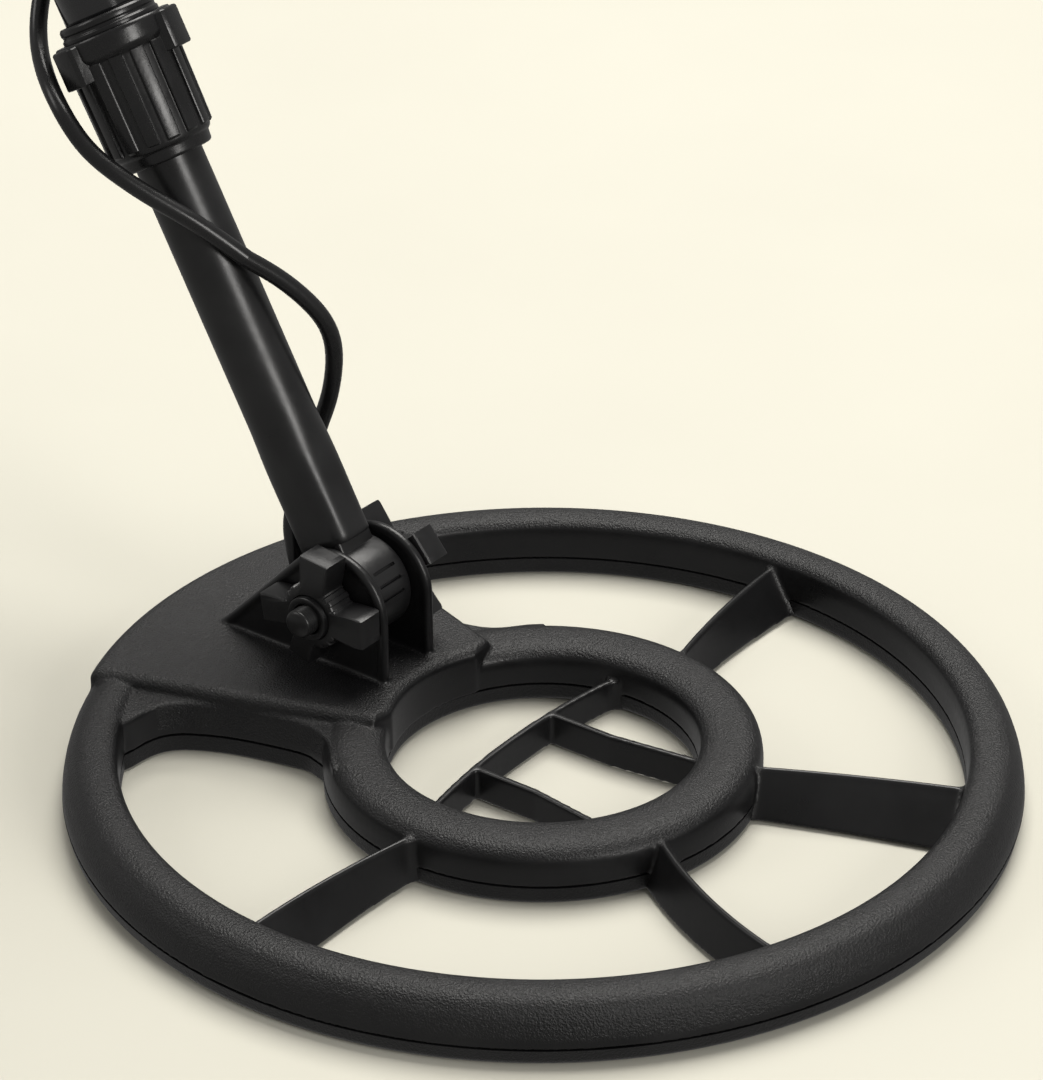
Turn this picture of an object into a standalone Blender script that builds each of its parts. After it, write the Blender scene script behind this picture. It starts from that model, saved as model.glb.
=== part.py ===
"""Metal detector: open search coil on a tilting yoke, telescoping lower rod with twist-lock
nuts, S-shaped handle tube with control box, foam grip and arm cuff.

Frame: origin on the coil's underside straight below the tilt pivot, +X forward (away from
the user), +Z up; the shaft leans back towards -X in the XZ plane. Positions are measured
from the coil's centre; at the end everything hangs from one empty that puts the origin
below the pivot. Lengths are in millimetres and become metres as each solid is made.
"""
import bpy
import bmesh
import math
from mathutils import Vector, Matrix

MM = 0.001

# ---- tilt pivot and shaft, shared by all assemblies ---------------------
PIVOT_X, PIVOT_Z = -62.3, 38.4
BOLT_R = 4.0
BOLT_HOLE_R = BOLT_R + 0.3
SHAFT_ELEV = 61.6           # degrees above horizontal
TILT = SHAFT_ELEV - 90      # about Y, from upright
CABLE_R = 2.4
CABLE_HOLE_R = CABLE_R + 0.3

for old in list(bpy.data.objects):
    bpy.data.objects.remove(old, do_unlink=True)

PARTS = bpy.data.collections.new("metal_detector")
CUT = bpy.data.collections.new("cutters")
bpy.context.scene.collection.children.link(PARTS)
bpy.context.scene.collection.children.link(CUT)


# ======================================================================
# Materials
# ======================================================================
def material(name, color, roughness, metallic=0.0):
    made = bpy.data.materials.new(name)
    made.use_nodes = True
    shader = made.node_tree.nodes["Principled BSDF"]
    shader.inputs["Base Color"].default_value = (*color, 1)
    shader.inputs["Roughness"].default_value = roughness
    shader.inputs["Metallic"].default_value = metallic
    return made


def grey(name, value, roughness):
    return material(name, (value, value, value), roughness)


TEXTURED = grey("moulded_black_textured", value=0.018, roughness=0.55)
SATIN = grey("moulded_black_satin", value=0.016, roughness=0.4)
PLASTIC = grey("glass_filled_black", value=0.02, roughness=0.35)
CASE = grey("case_black", value=0.02, roughness=0.45)
SPEAKER = grey("speaker_black", value=0.02, roughness=0.6)
RUBBER = grey("rubber", value=0.015, roughness=0.8)
FOAM = material("grip_foam", color=(0.02, 0.02, 0.021), roughness=0.95)
WEBBING = material("webbing", color=(0.015, 0.015, 0.016), roughness=0.9)
JACKET = material("cable_jacket", color=(0.014, 0.014, 0.015), roughness=0.45)
WINDOW = material("display_window", color=(0.03, 0.035, 0.035), roughness=0.08)
LCD = material("lcd_glass", color=(0.32, 0.36, 0.3), roughness=0.2)
BOARD = material("circuit_board_green", color=(0.02, 0.14, 0.05), roughness=0.5)
COPPER = material("enamelled_copper", color=(0.55, 0.2, 0.08), roughness=0.35, metallic=1.0)
ANODISED = material("black_anodised_tube", color=(0.01, 0.01, 0.012), roughness=0.18,
                    metallic=0.6)
STEEL = material("spring_steel", color=(0.55, 0.55, 0.56), roughness=0.3, metallic=1.0)
BATTERY = material("battery_steel", color=(0.35, 0.33, 0.3), roughness=0.35, metallic=0.8)


# ======================================================================
# Placing
# ======================================================================
def shift(x=0, y=0, z=0):
    return Matrix.Translation(Vector((x, y, z)) * MM)


def turn(degrees, axis):
    return Matrix.Rotation(math.radians(degrees), 4, axis)


# outline X, Y and height become X, Z and -Y
UPRIGHT = Matrix(((1, 0, 0, 0), (0, 0, -1, 0), (0, 1, 0, 0), (0, 0, 0, 1)))
# outline X, Y and height become Y, Z and X
ACROSS = Matrix(((0, 0, 1, 0), (1, 0, 0, 0), (0, 1, 0, 0), (0, 0, 0, 1)))
ALONG_Y = turn(90, "X")     # local Z points to -Y
ALONG_X = turn(90, "Y")     # local Z points to +X


def empty(name, location, degrees=(0, 0, 0), parent=None):
    made = bpy.data.objects.new(name, None)
    made.location = Vector(location) * MM
    made.rotation_euler = [math.radians(angle) for angle in degrees]
    PARTS.objects.link(made)
    if parent:
        made.parent = parent
    return made


# ======================================================================
# Outlines
# ======================================================================
def arc(x, y, radius, start, end, steps):
    """Points on a circle about (x, y), from start to end in degrees."""
    angles = [math.radians(start + (end - start) * i / steps) for i in range(steps + 1)]
    return [(x + radius * math.cos(a), y + radius * math.sin(a)) for a in angles]


def rounded_rect(width, height, radius, steps=4, x=0.0, y=0.0):
    points = []
    for side_x, side_y, start in ((1, 1, 0), (-1, 1, 90), (-1, -1, 180), (1, -1, 270)):
        points += arc(x + side_x * (width / 2 - radius), y + side_y * (height / 2 - radius),
                      radius, start, start + 90, steps)
    return points


def mirrored(points):
    """The points reflected in Y, in reverse order."""
    return [(x, -y) for x, y in reversed(points)]


def ahead(point, degrees, distance):
    angle = math.radians(degrees)
    return point[0] + distance * math.cos(angle), point[1] + distance * math.sin(angle)


# ======================================================================
# Solids: each function returns a helper object
# ======================================================================
def helper(mesh, place=None):
    if place is not None:
        mesh.transform(place)
    made = bpy.data.objects.new("helper", mesh)
    CUT.objects.link(made)
    made.hide_render = True
    made.display_type = "WIRE"
    return made


def helper_from(bm, place=None):
    mesh = bpy.data.meshes.new("helper")
    bm.to_mesh(mesh)
    bm.free()
    return helper(mesh, place)


def evaluated_mesh(obj):
    bpy.context.view_layer.update()
    depsgraph = bpy.context.evaluated_depsgraph_get()
    return bpy.data.meshes.new_from_object(obj.evaluated_get(depsgraph), depsgraph=depsgraph)


def bake(obj):
    mesh = evaluated_mesh(obj)
    obj.modifiers.clear()
    obj.data = mesh


def clean(mesh):
    """Welds double vertices and turns the faces outwards."""
    bm = bmesh.new()
    bm.from_mesh(mesh)
    bmesh.ops.remove_doubles(bm, verts=bm.verts, dist=1e-6)
    bmesh.ops.recalc_face_normals(bm, faces=bm.faces)
    bm.to_mesh(mesh)
    bm.free()


def cyl(radius, z0, z1, segments=24, place=None):
    bm = bmesh.new()
    bmesh.ops.create_cone(bm, cap_ends=True, segments=segments, radius1=radius * MM,
                          radius2=radius * MM, depth=(z1 - z0) * MM)
    bmesh.ops.translate(bm, verts=bm.verts, vec=(0, 0, (z0 + z1) / 2 * MM))
    return helper_from(bm, place)


def box(x0, x1, y0, y1, z0, z1, place=None, chamfer=0.0):
    bm = bmesh.new()
    bmesh.ops.create_cube(bm, size=1.0)
    bmesh.ops.scale(bm, verts=bm.verts, vec=((x1 - x0) * MM, (y1 - y0) * MM, (z1 - z0) * MM))
    if chamfer:
        bmesh.ops.bevel(bm, geom=bm.edges[:], offset=chamfer * MM, segments=1, profile=0.5,
                        affect="EDGES")
    centre = ((x0 + x1) / 2 * MM, (y0 + y1) / 2 * MM, (z0 + z1) / 2 * MM)
    bmesh.ops.translate(bm, verts=bm.verts, vec=centre)
    return helper_from(bm, place)


def turned(profile, segments, place=None, closed=True):
    """A profile of (radius, z) turned about Z; one left open ends on the axis."""
    last = len(profile) - 1
    edges = [(i, i + 1) for i in range(last)] + ([(last, 0)] if closed else [])
    mesh = bpy.data.meshes.new("helper")
    mesh.from_pydata([(radius * MM, 0, z * MM) for radius, z in profile], edges, [])
    made = helper(mesh)
    screw = made.modifiers.new("screw", "SCREW")
    screw.steps = screw.render_steps = segments
    screw.use_merge_vertices = True
    screw.merge_threshold = 0.00001
    screw.use_smooth_shade = False
    bake(made)
    clean(made.data)
    if place is not None:
        made.data.transform(place)
    return made


def curve_mesh(points, cyclic, **settings):
    """The mesh of a poly curve through 3D points, in millimetres."""
    curve = bpy.data.curves.new("helper", "CURVE")
    for key, value in settings.items():
        setattr(curve, key, value)
    spline = curve.splines.new("POLY")
    spline.points.add(len(points) - 1)
    for target, (x, y, z) in zip(spline.points, points):
        target.co = (x * MM, y * MM, z * MM, 1)
    spline.use_cyclic_u = cyclic
    made = bpy.data.objects.new("helper", curve)
    CUT.objects.link(made)
    mesh = evaluated_mesh(made)
    bpy.data.objects.remove(made, do_unlink=True)
    return mesh


def plate(points, z0, z1, place=None, top=0.0, top_segments=2):
    """A flat outline filled from z0 to z1, its upper edge rounded by top."""
    mesh = curve_mesh([(x, y, 0) for x, y in points], True, dimensions="2D",
                      fill_mode="BOTH", extrude=(z1 - z0) / 2 * MM)
    mesh.transform(shift(0, 0, (z0 + z1) / 2))
    bm = bmesh.new()
    bm.from_mesh(mesh)
    bmesh.ops.remove_doubles(bm, verts=bm.verts, dist=1e-6)
    bmesh.ops.dissolve_limit(bm, angle_limit=0.001, verts=bm.verts, edges=bm.edges)
    bmesh.ops.recalc_face_normals(bm, faces=bm.faces)
    if top:
        rim = [edge for edge in bm.edges
               if all(abs(vert.co.z - z1 * MM) < 1e-6 for vert in edge.verts)]
        bmesh.ops.bevel(bm, geom=rim, offset=top * MM, segments=top_segments, profile=0.5,
                        affect="EDGES")
    return helper_from(bm, place)


def wire(points, radius, resolution):
    """A round wire along 3D points, with filled caps."""
    mesh = curve_mesh(points, False, dimensions="3D", bevel_depth=radius * MM,
                      bevel_resolution=resolution, use_fill_caps=True)
    clean(mesh)
    return helper(mesh)


def boolean(body, others, operation):
    """Applies the others to body one by one and uses them up."""
    for other in others:
        modifier = body.modifiers.new("boolean", "BOOLEAN")
        modifier.operation = operation
        modifier.solver = "EXACT"
        modifier.object = other
        bake(body)
        bpy.data.objects.remove(other, do_unlink=True)
    return body


def cut(body, *others):
    return boolean(body, others, "DIFFERENCE")


def join(body, *others):
    return boolean(body, others, "UNION")


def piece(name, solid, surface, parent=None):
    """Turns a helper into the named piece, placed under parent."""
    mesh = solid.data
    bm = bmesh.new()
    bm.from_mesh(mesh)
    bmesh.ops.remove_doubles(bm, verts=bm.verts, dist=2e-6)
    bmesh.ops.dissolve_degenerate(bm, edges=bm.edges, dist=2e-6)
    bm.to_mesh(mesh)
    bm.free()
    mesh.name = name
    mesh.materials.clear()
    mesh.materials.append(surface)
    mesh.shade_smooth()
    mesh.set_sharp_from_angle(angle=math.radians(40))
    bpy.data.objects.remove(solid, do_unlink=True)
    made = bpy.data.objects.new(name, mesh)
    PARTS.objects.link(made)
    if parent:
        made.parent = parent


# ======================================================================
# Search coil: an outer and an inner ring, joined at the rear by a bracket base
# ======================================================================
COIL_R = 127.0              # a 254 mm (10 inch) coil
COIL_WALL_IN = 111.65       # inner wall of the outer ring
HUB_R = 58.3                # inner ring, outside
HOLE_R = 41.2               # inner ring, hole
SEAM_Z, SEAM_GAP = 5.2, 0.3         # joint between base cover and top shell
COVER_TOP = SEAM_Z - SEAM_GAP / 2
SHELL_BOTTOM = SEAM_Z + SEAM_GAP / 2
RING_TOP = 17.4
PLAT_TOP = 19.2             # raised bracket base
PLAT_FRONT = -37.5
PLAT_HALF, PLAT_HALF_X = 32.6, -57.0        # half width, and the x where it holds
PLAT_SLOPE = 0.331          # how the bracket base widens towards the rim
SHELL_T = 2.2
OUTER_SEGMENTS, INNER_SEGMENTS = 44, 26
RIB_T, RIB_BOTTOM, RIB_TOP = 1.8, 1.0, 9.5
SPOKE_T, SPOKE_TOP = 1.9, 13.4
EAR_OUT, EAR_IN = 10.84, 8.2                # faces of the yoke ears, +-Y
EAR_FRONT, EAR_REAR = -44.3, -103.0
EAR_X, EAR_Z, EAR_R = -61.0, 37.6, 16.6     # rounded top
GLAND_X, GLAND_Y = -83.5, 1.6

# (x, y) of the web's -Y side between the rings: front corner, flank, rear corner
WEB_FRONT = [(-42.0, -41.0)]
WEB_FLANK = [(-43.2, -37.0), (-47.5, -34.2), (-54.4, -33.3), (-63.9, -35.0),
             (-75.9, -39.0), (-84.8, -43.3), (-89.6, -47.8)]
WEB_REAR = [(-92.2, -54.5), (-92.4, -66.0)]


def ring_profile(inner, outer, top, bottom, inset):
    """Rounded ring section between two radii."""
    width = outer - inner
    height = top - bottom
    return [(outer - inset, bottom),
            (outer - inset, bottom + height * 0.60 - inset * 0.3),
            (outer - width * 0.11 - inset * 0.8, top - 2.0 - inset * 0.9),
            (outer - width * 0.32, top - 0.3 - inset),
            (inner + width * 0.40, top - inset),
            (inner + width * 0.13 + inset * 0.8, top - 1.9 - inset * 0.9),
            (inner + inset, bottom + height * 0.66 - inset * 0.3),
            (inner + inset, bottom)]


def platform_outline(inset):
    """The bracket base, from the hole's edge back to the rim."""
    def wall_y(x):
        return -(PLAT_HALF + PLAT_SLOPE * (PLAT_HALF_X - x)) + inset * 1.05

    rim_r = 125.0 - inset
    x = -100.0
    for _ in range(40):     # closes in on where the side wall meets the rim circle
        y = wall_y(x)
        x = -math.sqrt(rim_r ** 2 - y * y)
    rim_angle = math.degrees(math.atan2(wall_y(x), x)) % 360
    corner = [(PLAT_FRONT - inset * 0.4, wall_y(PLAT_FRONT))]
    rim = arc(0, 0, rim_r, rim_angle, 360 - rim_angle, 14)
    hole = arc(0, 0, 40.2 + inset, 180 - 28, 180 + 28, 8)
    return corner + rim + mirrored(corner) + hole


def web_outline(inset):
    """Ring-level web under the platform: its sides run into both rings."""
    half = (WEB_FRONT + [(x, y + inset) for x, y in WEB_FLANK]
            + [(x - inset, y) for x, y in WEB_REAR])
    outer = arc(0, 0, 116.0, 180 + 35, 180 - 35, 10)
    inner = arc(0, 0, 50.0, 180 - 50, 180 + 50, 10)
    return half + outer + mirrored(half) + inner


def coil_form(bottom, inset):
    """Outer ring, bracket base and inner ring."""
    outer = ring_profile(COIL_WALL_IN, COIL_R, RING_TOP, bottom, inset)
    inner = ring_profile(HOLE_R, HUB_R, RING_TOP - 1.0, bottom, inset)
    return (turned(outer, OUTER_SEGMENTS),
            plate(platform_outline(inset), bottom, PLAT_TOP - inset, top=max(3.0 - inset, 0.6)),
            turned(inner, INNER_SEGMENTS))


def bowed(start, end, sag, steps):
    """Points from start to end, bowed to the left by sag."""
    start, end = Vector(start), Vector(end)
    span = end - start
    left = Vector((-span.y, span.x)).normalized()
    return [tuple(start + span * (i / steps) + left * sag * 4 * (i / steps) * (1 - i / steps))
            for i in range(steps + 1)]


def with_normals(points):
    """Each point of a polyline with its unit normal to the left."""
    result = []
    for i, point in enumerate(points):
        before = Vector(points[max(i - 1, 0)])
        after = Vector(points[min(i + 1, len(points) - 1)])
        along = (after - before).normalized()
        result.append((Vector(point), Vector((-along.y, along.x))))
    return result


def rib(points):
    """A thin upright rib along a polyline."""
    stations = with_normals(points)
    left = [tuple(point + normal * RIB_T / 2) for point, normal in stations]
    right = [tuple(point - normal * RIB_T / 2) for point, normal in stations]
    return plate(left + right[::-1], RIB_BOTTOM, RIB_TOP)


def spoke(points, left_foot, right_foot):
    """A spoke whose foot spreads by (at the hub, at the rim) on each side."""
    bm = bmesh.new()
    half = SPOKE_T / 2
    sections = []
    for i, (point, normal) in enumerate(with_normals(points)):
        part = i / (len(points) - 1)
        left = half + left_foot[0] + (left_foot[1] - left_foot[0]) * part
        right = half + right_foot[0] + (right_foot[1] - right_foot[0]) * part
        corners = [(point + normal * left, RIB_BOTTOM), (point + normal * half, SPOKE_TOP),
                   (point - normal * half, SPOKE_TOP), (point - normal * right, RIB_BOTTOM)]
        sections.append([bm.verts.new((at.x * MM, at.y * MM, z * MM)) for at, z in corners])
    for near, far in zip(sections, sections[1:]):
        for i in range(4):
            bm.faces.new((near[i], near[(i + 1) % 4], far[(i + 1) % 4], far[i]))
    bm.faces.new(sections[0][::-1])
    bm.faces.new(sections[-1])
    bmesh.ops.triangulate(bm, faces=bm.faces)
    bmesh.ops.recalc_face_normals(bm, faces=bm.faces)
    return helper_from(bm)


def clear_of_base(body):
    """Keeps a rib's lower part out of the two rings of the base cover."""
    for outer, inner, segments in ((130, COIL_WALL_IN - 0.35, OUTER_SEGMENTS),
                                   (HUB_R + 0.6, HOLE_R - 1.0, INNER_SEGMENTS)):
        profile = [(outer, SHELL_BOTTOM), (outer, -2), (inner, -2), (inner, SHELL_BOTTOM)]
        body = cut(body, turned(profile, segments))
    return body


def spokes():
    """A side and a front spoke on each half of the coil."""
    side_feet = ((0.6, 6.6), (0.6, 2.6))        # towards the front, towards the rear
    front_feet = ((4.6, 9.6), (3.4, 1.6))       # towards the middle, outwards
    made = []
    for side in (-1, 1):
        side_path = bowed((1.0, side * 57.0), (-6.6, side * 113.0), side * 1.5, 4)
        front_path = bowed((51.0, side * 20.5), (104.0, side * 45.0), side * 3.0, 5)
        for path, feet in ((side_path, side_feet), (front_path, front_feet)):
            made.append(clear_of_base(spoke(path, *feet[::-side])))
    return made


def hole_ribs():
    """One bowed rib across the hole and two running forwards."""
    grid = rib(bowed((-6.2, -41.8), (-6.2, 41.8), 4.2, 8))
    for side in (-1, 1):
        grid = join(grid, rib([(-10.4, side * 16.8), (10.2, side * 16.8), (37.8, side * 20.6)]))
    return clear_of_base(grid)


def ear_outline():
    """Rounded top, straight front edge, rear edge sloping down tangent to the top."""
    rear = Vector((EAR_REAR, PLAT_TOP - 0.6))
    reach = Vector((EAR_X, EAR_Z)) - rear
    slope = math.degrees(math.atan2(reach.y, reach.x) + math.asin(EAR_R / reach.length))
    return ([(EAR_FRONT, PLAT_TOP - 3.0)] + arc(EAR_X, EAR_Z, EAR_R, 0, slope + 90, 10)
            + [tuple(rear), (EAR_REAR, PLAT_TOP - 3.0)])


def coil_top_shell():
    web = plate(web_outline(0.0), SHELL_BOTTOM, 15.4, top=0.8, top_segments=1)
    shell = join(*coil_form(SHELL_BOTTOM, 0.0), web)
    # the hollow that holds the windings
    shell = cut(shell, join(*coil_form(SHELL_BOTTOM - 3.0, SHELL_T)))
    shell = join(shell, *spokes())
    shell = join(shell, hole_ribs())
    for y0, y1 in ((EAR_IN, EAR_OUT), (-EAR_OUT, -EAR_IN)):
        shell = join(shell, plate(ear_outline(), -y1, -y0, UPRIGHT))
    return cut(shell,
               cyl(BOLT_HOLE_R, -15, 15, 20, shift(PIVOT_X, 0, PIVOT_Z) @ ALONG_Y),
               cyl(3.3, 12, 24, 16, shift(GLAND_X, GLAND_Y, 0)))


def coil_base_cover():
    """Flat skid plate under the rings and the bracket base, with a low rim."""
    outer = turned([(COIL_R - 0.1, COVER_TOP), (COIL_R - 1.1, 0.6), (COIL_R - 1.9, 0),
                    (COIL_WALL_IN + 0.9, 0), (COIL_WALL_IN + 0.1, 0.8),
                    (COIL_WALL_IN, COVER_TOP)], OUTER_SEGMENTS)
    inner = turned([(HUB_R + 0.2, COVER_TOP), (HUB_R + 0.2, 0.8), (HUB_R - 0.6, 0),
                    (HOLE_R + 0.2, 0), (HOLE_R - 0.6, 0.8),
                    (HOLE_R - 0.6, COVER_TOP)], INNER_SEGMENTS)
    return join(outer, inner, plate(web_outline(0.3), 0.05, COVER_TOP - 0.05))


def cable_gland():
    """Strain relief standing on the bracket base between the ears."""
    place = shift(GLAND_X, GLAND_Y, 0)
    body = turned([(0, 32.0), (3.4, 32.0), (4.2, 26.5), (5.2, 25.5), (5.2, 21.4), (5.8, 20.6),
                   (5.8, PLAT_TOP + 0.3), (3.0, PLAT_TOP + 0.3), (3.0, 15.0), (0, 15.0)],
                  16, place, closed=False)
    return cut(body, cyl(CABLE_HOLE_R, 24, 40, 12, place))


pivot = (PIVOT_X, 0, PIVOT_Z)
empty("coil_axis", pivot)
shaft_axis = empty("shaft_axis", pivot, (0, TILT, 0))
piece("coil_top_shell", coil_top_shell(), TEXTURED)
piece("coil_base_cover", coil_base_cover(), TEXTURED)
piece("transmit_winding", turned(arc(119.2, 8.6, 3.6, 0, 300, 5), 40), COPPER)
piece("receive_winding", turned(arc(49.8, 8.4, 3.4, 0, 300, 5), 24), COPPER)
piece("cable_gland", cable_gland(), SATIN)


# ======================================================================
# Pivot bolt and wing nut, along Y through the pivot
# ======================================================================
def winged(hub_r, hub_h, wing_l, wing_h, angle):
    """A hub with two tapering wings, standing just off an ear."""
    z0 = EAR_OUT + 0.4
    body = cyl(hub_r, z0, z0 + hub_h, 16)
    half = [(2.0, -3.6), (hub_r + 1.0, -3.4), (wing_l, -1.6)]
    for k in range(2):
        wing = plate(half + mirrored(half), z0 + 0.8, z0 + wing_h, turn(angle + 180 * k, "Z"))
        body = join(body, wing)
    return body


bolt_axis = empty("bolt_axis", pivot)
bolt = join(winged(hub_r=7.6, hub_h=8.0, wing_l=16.5, wing_h=7.2, angle=40),
            cyl(BOLT_R, -26.0, EAR_OUT + 2.0, 20))
bolt.data.transform(turn(-90, "X"))         # head on the +Y side
piece("pivot_bolt", bolt, SATIN, bolt_axis)
wing_nut = cut(winged(hub_r=8.2, hub_h=8.4, wing_l=17.5, wing_h=8.0, angle=-35),
               cyl(BOLT_HOLE_R, 0, 40, 20))
wing_nut.data.transform(ALONG_Y)
piece("wing_nut", wing_nut, SATIN, bolt_axis)

# ======================================================================
# Lower rod. Shaft frame from here on: origin at the pivot, X up and forward, Y as the
# world's, Z up along the rod
# ======================================================================
KNUCKLE_R, KNUCKLE_HALF = 13.2, 7.3
RECESS_R, RECESS_DEPTH = 9.3, 1.5
STEM_X, STEM_Y, STEM_TOP = 7.6, 6.9, 30.0   # half sizes and top of the knuckle's stem
ROD_R, ROD_BORE = 9.35, 7.4
ROD_BOTTOM, ROD_TOP = 14.5, 486.0
ROD_FLAT = 7.4                              # flats on the rod's foot, +-Y


def rod_knuckle():
    body = cyl(KNUCKLE_R, -KNUCKLE_HALF, KNUCKLE_HALF, 28, ALONG_Y)
    body = join(body, box(-STEM_X, STEM_X, -STEM_Y, STEM_Y, 4.0, STEM_TOP))
    body = cut(body, cyl(BOLT_HOLE_R, -20, 20, 20, ALONG_Y))
    for z in (KNUCKLE_HALF - RECESS_DEPTH, -KNUCKLE_HALF - 5.0):
        body = cut(body, cyl(RECESS_R, z, z + RECESS_DEPTH + 5.0, 24, ALONG_Y))
    for k in range(3):      # shallow slots across the barrel
        body = cut(body, box(KNUCKLE_R - 1.0, KNUCKLE_R + 3, -4.5, 4.5, -0.5, 0.5,
                             turn(-8 + 24 * k, "Y")))
    return body


def friction_washer(side):
    z0 = KNUCKLE_HALF - 1.2
    z1 = z0 + 1.8
    return turned([(9.0, z1), (9.0, z0), (4.5, z0), (4.5, z1)], 24, turn(-90 * side, "X"))


def lower_rod():
    rod = cyl(ROD_R, ROD_BOTTOM, ROD_TOP, 28)
    for y0, y1 in ((-20, -ROD_FLAT), (ROD_FLAT, 20)):
        rod = cut(rod, box(-20, 20, y0, y1, 0, 40.0))
    stem_x, stem_y = STEM_X + 0.3, STEM_Y + 0.3
    return cut(rod,
               cyl(ROD_BORE, 46.0, ROD_TOP + 5, 24),
               box(-stem_x, stem_x, -stem_y, stem_y, 0.0, STEM_TOP + 0.3),
               cyl(KNUCKLE_R + 0.4, -20, 20, 32, ALONG_Y))


piece("rod_knuckle", rod_knuckle(), SATIN, shaft_axis)
piece("friction_washer_near", friction_washer(-1), RUBBER, shaft_axis)
piece("friction_washer_far", friction_washer(1), RUBBER, shaft_axis)
piece("lower_rod", lower_rod(), SATIN, shaft_axis)

# ======================================================================
# Twist-lock nuts, collets and middle tube
# ======================================================================
TUBE_R, TUBE_BORE = 11.0, 9.75
TUBE_BOTTOM, TUBE_TOP = 149.0, 552.0
UP_R, UP_BORE, UP_BOTTOM = 13.0, 11.9, 470.0
UPPER_SCALE = 1.14          # upper lock against the lower one
BUTTON_Z = 505.0


def lock_nut(bottom, bore, scale):
    """Tapered nut with nine ribs and a collar with three lugs."""
    body = turned([(15.4 * scale, bottom + 27), (13.6 * scale, bottom + 5.0),
                   (12.8 * scale, bottom + 3.4), (12.4 * scale, bottom), (bore, bottom),
                   (bore, bottom + 3.2), (12.9 * scale, bottom + 5.6),
                   (12.9 * scale, bottom + 35.0), (16.2 * scale, bottom + 35.0),
                   (16.4 * scale, bottom + 28.5)], 28)
    ribs = [box(12.9 * scale + 0.8, 14.3 * scale, -1.9, 1.9, bottom + 5.2, bottom + 28.0,
                turn(360 / 9 * i, "Z")) for i in range(9)]
    lugs = [box(14.6 * scale, 18.3 * scale, -4.6, 4.6, bottom + 24.5, bottom + 34.6,
                turn(120 * i - 47, "Z"), chamfer=0.8) for i in range(3)]
    return join(body, *ribs, *lugs)


def collet(bottom, top, rod_r, tube_r, tube_bottom, scale):
    """Split collet: grips the inner tube, and sleeves the outer one from its lower end up."""
    bore, sleeve, step = rod_r + 0.35, tube_r + 0.3, tube_bottom - 0.4
    body = turned([(12.3 * scale, top - 5.6), (12.3 * scale, bottom + 4.0),
                   (11.2 * scale, bottom), (bore, bottom), (bore, step), (sleeve, step),
                   (sleeve, top), (12.9 * scale, top), (13.4 * scale, top - 1.0),
                   (13.4 * scale, top - 5.0)], 24)
    for i in range(2):
        body = cut(body, box(-20, 20, -0.8, 0.8, bottom - 1, bottom + 13,
                             turn(45 + 90 * i, "Z")))
    return body


def button_hole():
    return cyl(3.1, 5, 20, 12, shift(0, 0, BUTTON_Z) @ ALONG_Y)


lower_lock_axis = empty("lower_lock_axis", (0, 0, 0), parent=shaft_axis)
piece("lower_lock_nut", lock_nut(125.5, ROD_R + 0.4, 1.0), PLASTIC, lower_lock_axis)
piece("lower_collet", collet(131.6, 168.0, ROD_R, TUBE_R, TUBE_BOTTOM, 1.0), PLASTIC,
      shaft_axis)
middle_tube = turned([(TUBE_R, TUBE_TOP), (TUBE_R, TUBE_BOTTOM), (TUBE_BORE, TUBE_BOTTOM),
                      (TUBE_BORE, TUBE_TOP)], 28)
piece("middle_tube", cut(middle_tube, button_hole()), ANODISED, shaft_axis)
upper_lock_axis = empty("upper_lock_axis", (0, 0, 0), parent=shaft_axis)
piece("upper_lock_nut", lock_nut(446.0, TUBE_R + 0.4, UPPER_SCALE), PLASTIC, upper_lock_axis)
piece("upper_collet", collet(452.2, 489.0, TUBE_R, UP_R, UP_BOTTOM, UPPER_SCALE), PLASTIC,
      shaft_axis)

# ======================================================================
# Upper tube: straight, forward into the handle, then back along the forearm. Its centre
# line is in (z, x) of the shaft frame, with headings in degrees from Z towards X
# ======================================================================
BEND1_Z, BEND1_R = 600.0, 42.0
HANDLE_DIR, HANDLE_L = 60.0, 120.0
BEND2_R, BEND2_A = 36.0, 75.0
FOREARM_DIR, FOREARM_L = HANDLE_DIR - BEND2_A, 262.0
CUFF_AT = 200.0             # from the start of the forearm tube
CUFF_TRAVEL = 25.0

bend1 = arc(BEND1_Z, BEND1_R, BEND1_R, -90, HANDLE_DIR - 90, 6)
handle_middle = ahead(bend1[-1], HANDLE_DIR, HANDLE_L / 2)
bend2_start = ahead(bend1[-1], HANDLE_DIR, HANDLE_L)
bend2_centre = ahead(bend2_start, HANDLE_DIR - 90, BEND2_R)
bend2 = arc(*bend2_centre, BEND2_R, HANDLE_DIR + 90, FOREARM_DIR + 90, 7)
tube_end = ahead(bend2[-1], FOREARM_DIR, FOREARM_L)
cuff_at = ahead(bend2[-1], FOREARM_DIR, CUFF_AT)
tube_line = [(UP_BOTTOM, 0.0), (530.0, 0.0)] + bend1 + bend2 + [tube_end]


def on_line(point, heading):
    """Frame at a (z, x) point with its Z along the heading."""
    return shift(point[1], 0, point[0]) @ turn(heading, "Y")


def tube_wire(points, radius):
    return wire([(x, 0, z) for z, x in points], radius, 4)


def beyond(end, neighbour):
    """A point 3 mm past the end of the line."""
    end, neighbour = Vector(end), Vector(neighbour)
    return tuple(end - (neighbour - end).normalized() * 3)


def upper_tube():
    bore_line = ([beyond(tube_line[0], tube_line[1])] + tube_line[1:-1]
                 + [beyond(tube_line[-1], tube_line[-2])])
    tube = cut(tube_wire(tube_line, UP_R), tube_wire(bore_line, UP_BORE))
    reach = CUFF_TRAVEL + 1
    cuff_slot = plate(arc(0, reach, 3.6, 0, 180, 6) + arc(0, -reach, 3.6, 180, 360, 6),
                      -30, 30, on_line(cuff_at, FOREARM_DIR) @ ACROSS)
    return cut(tube, button_hole(), cuff_slot)


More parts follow.
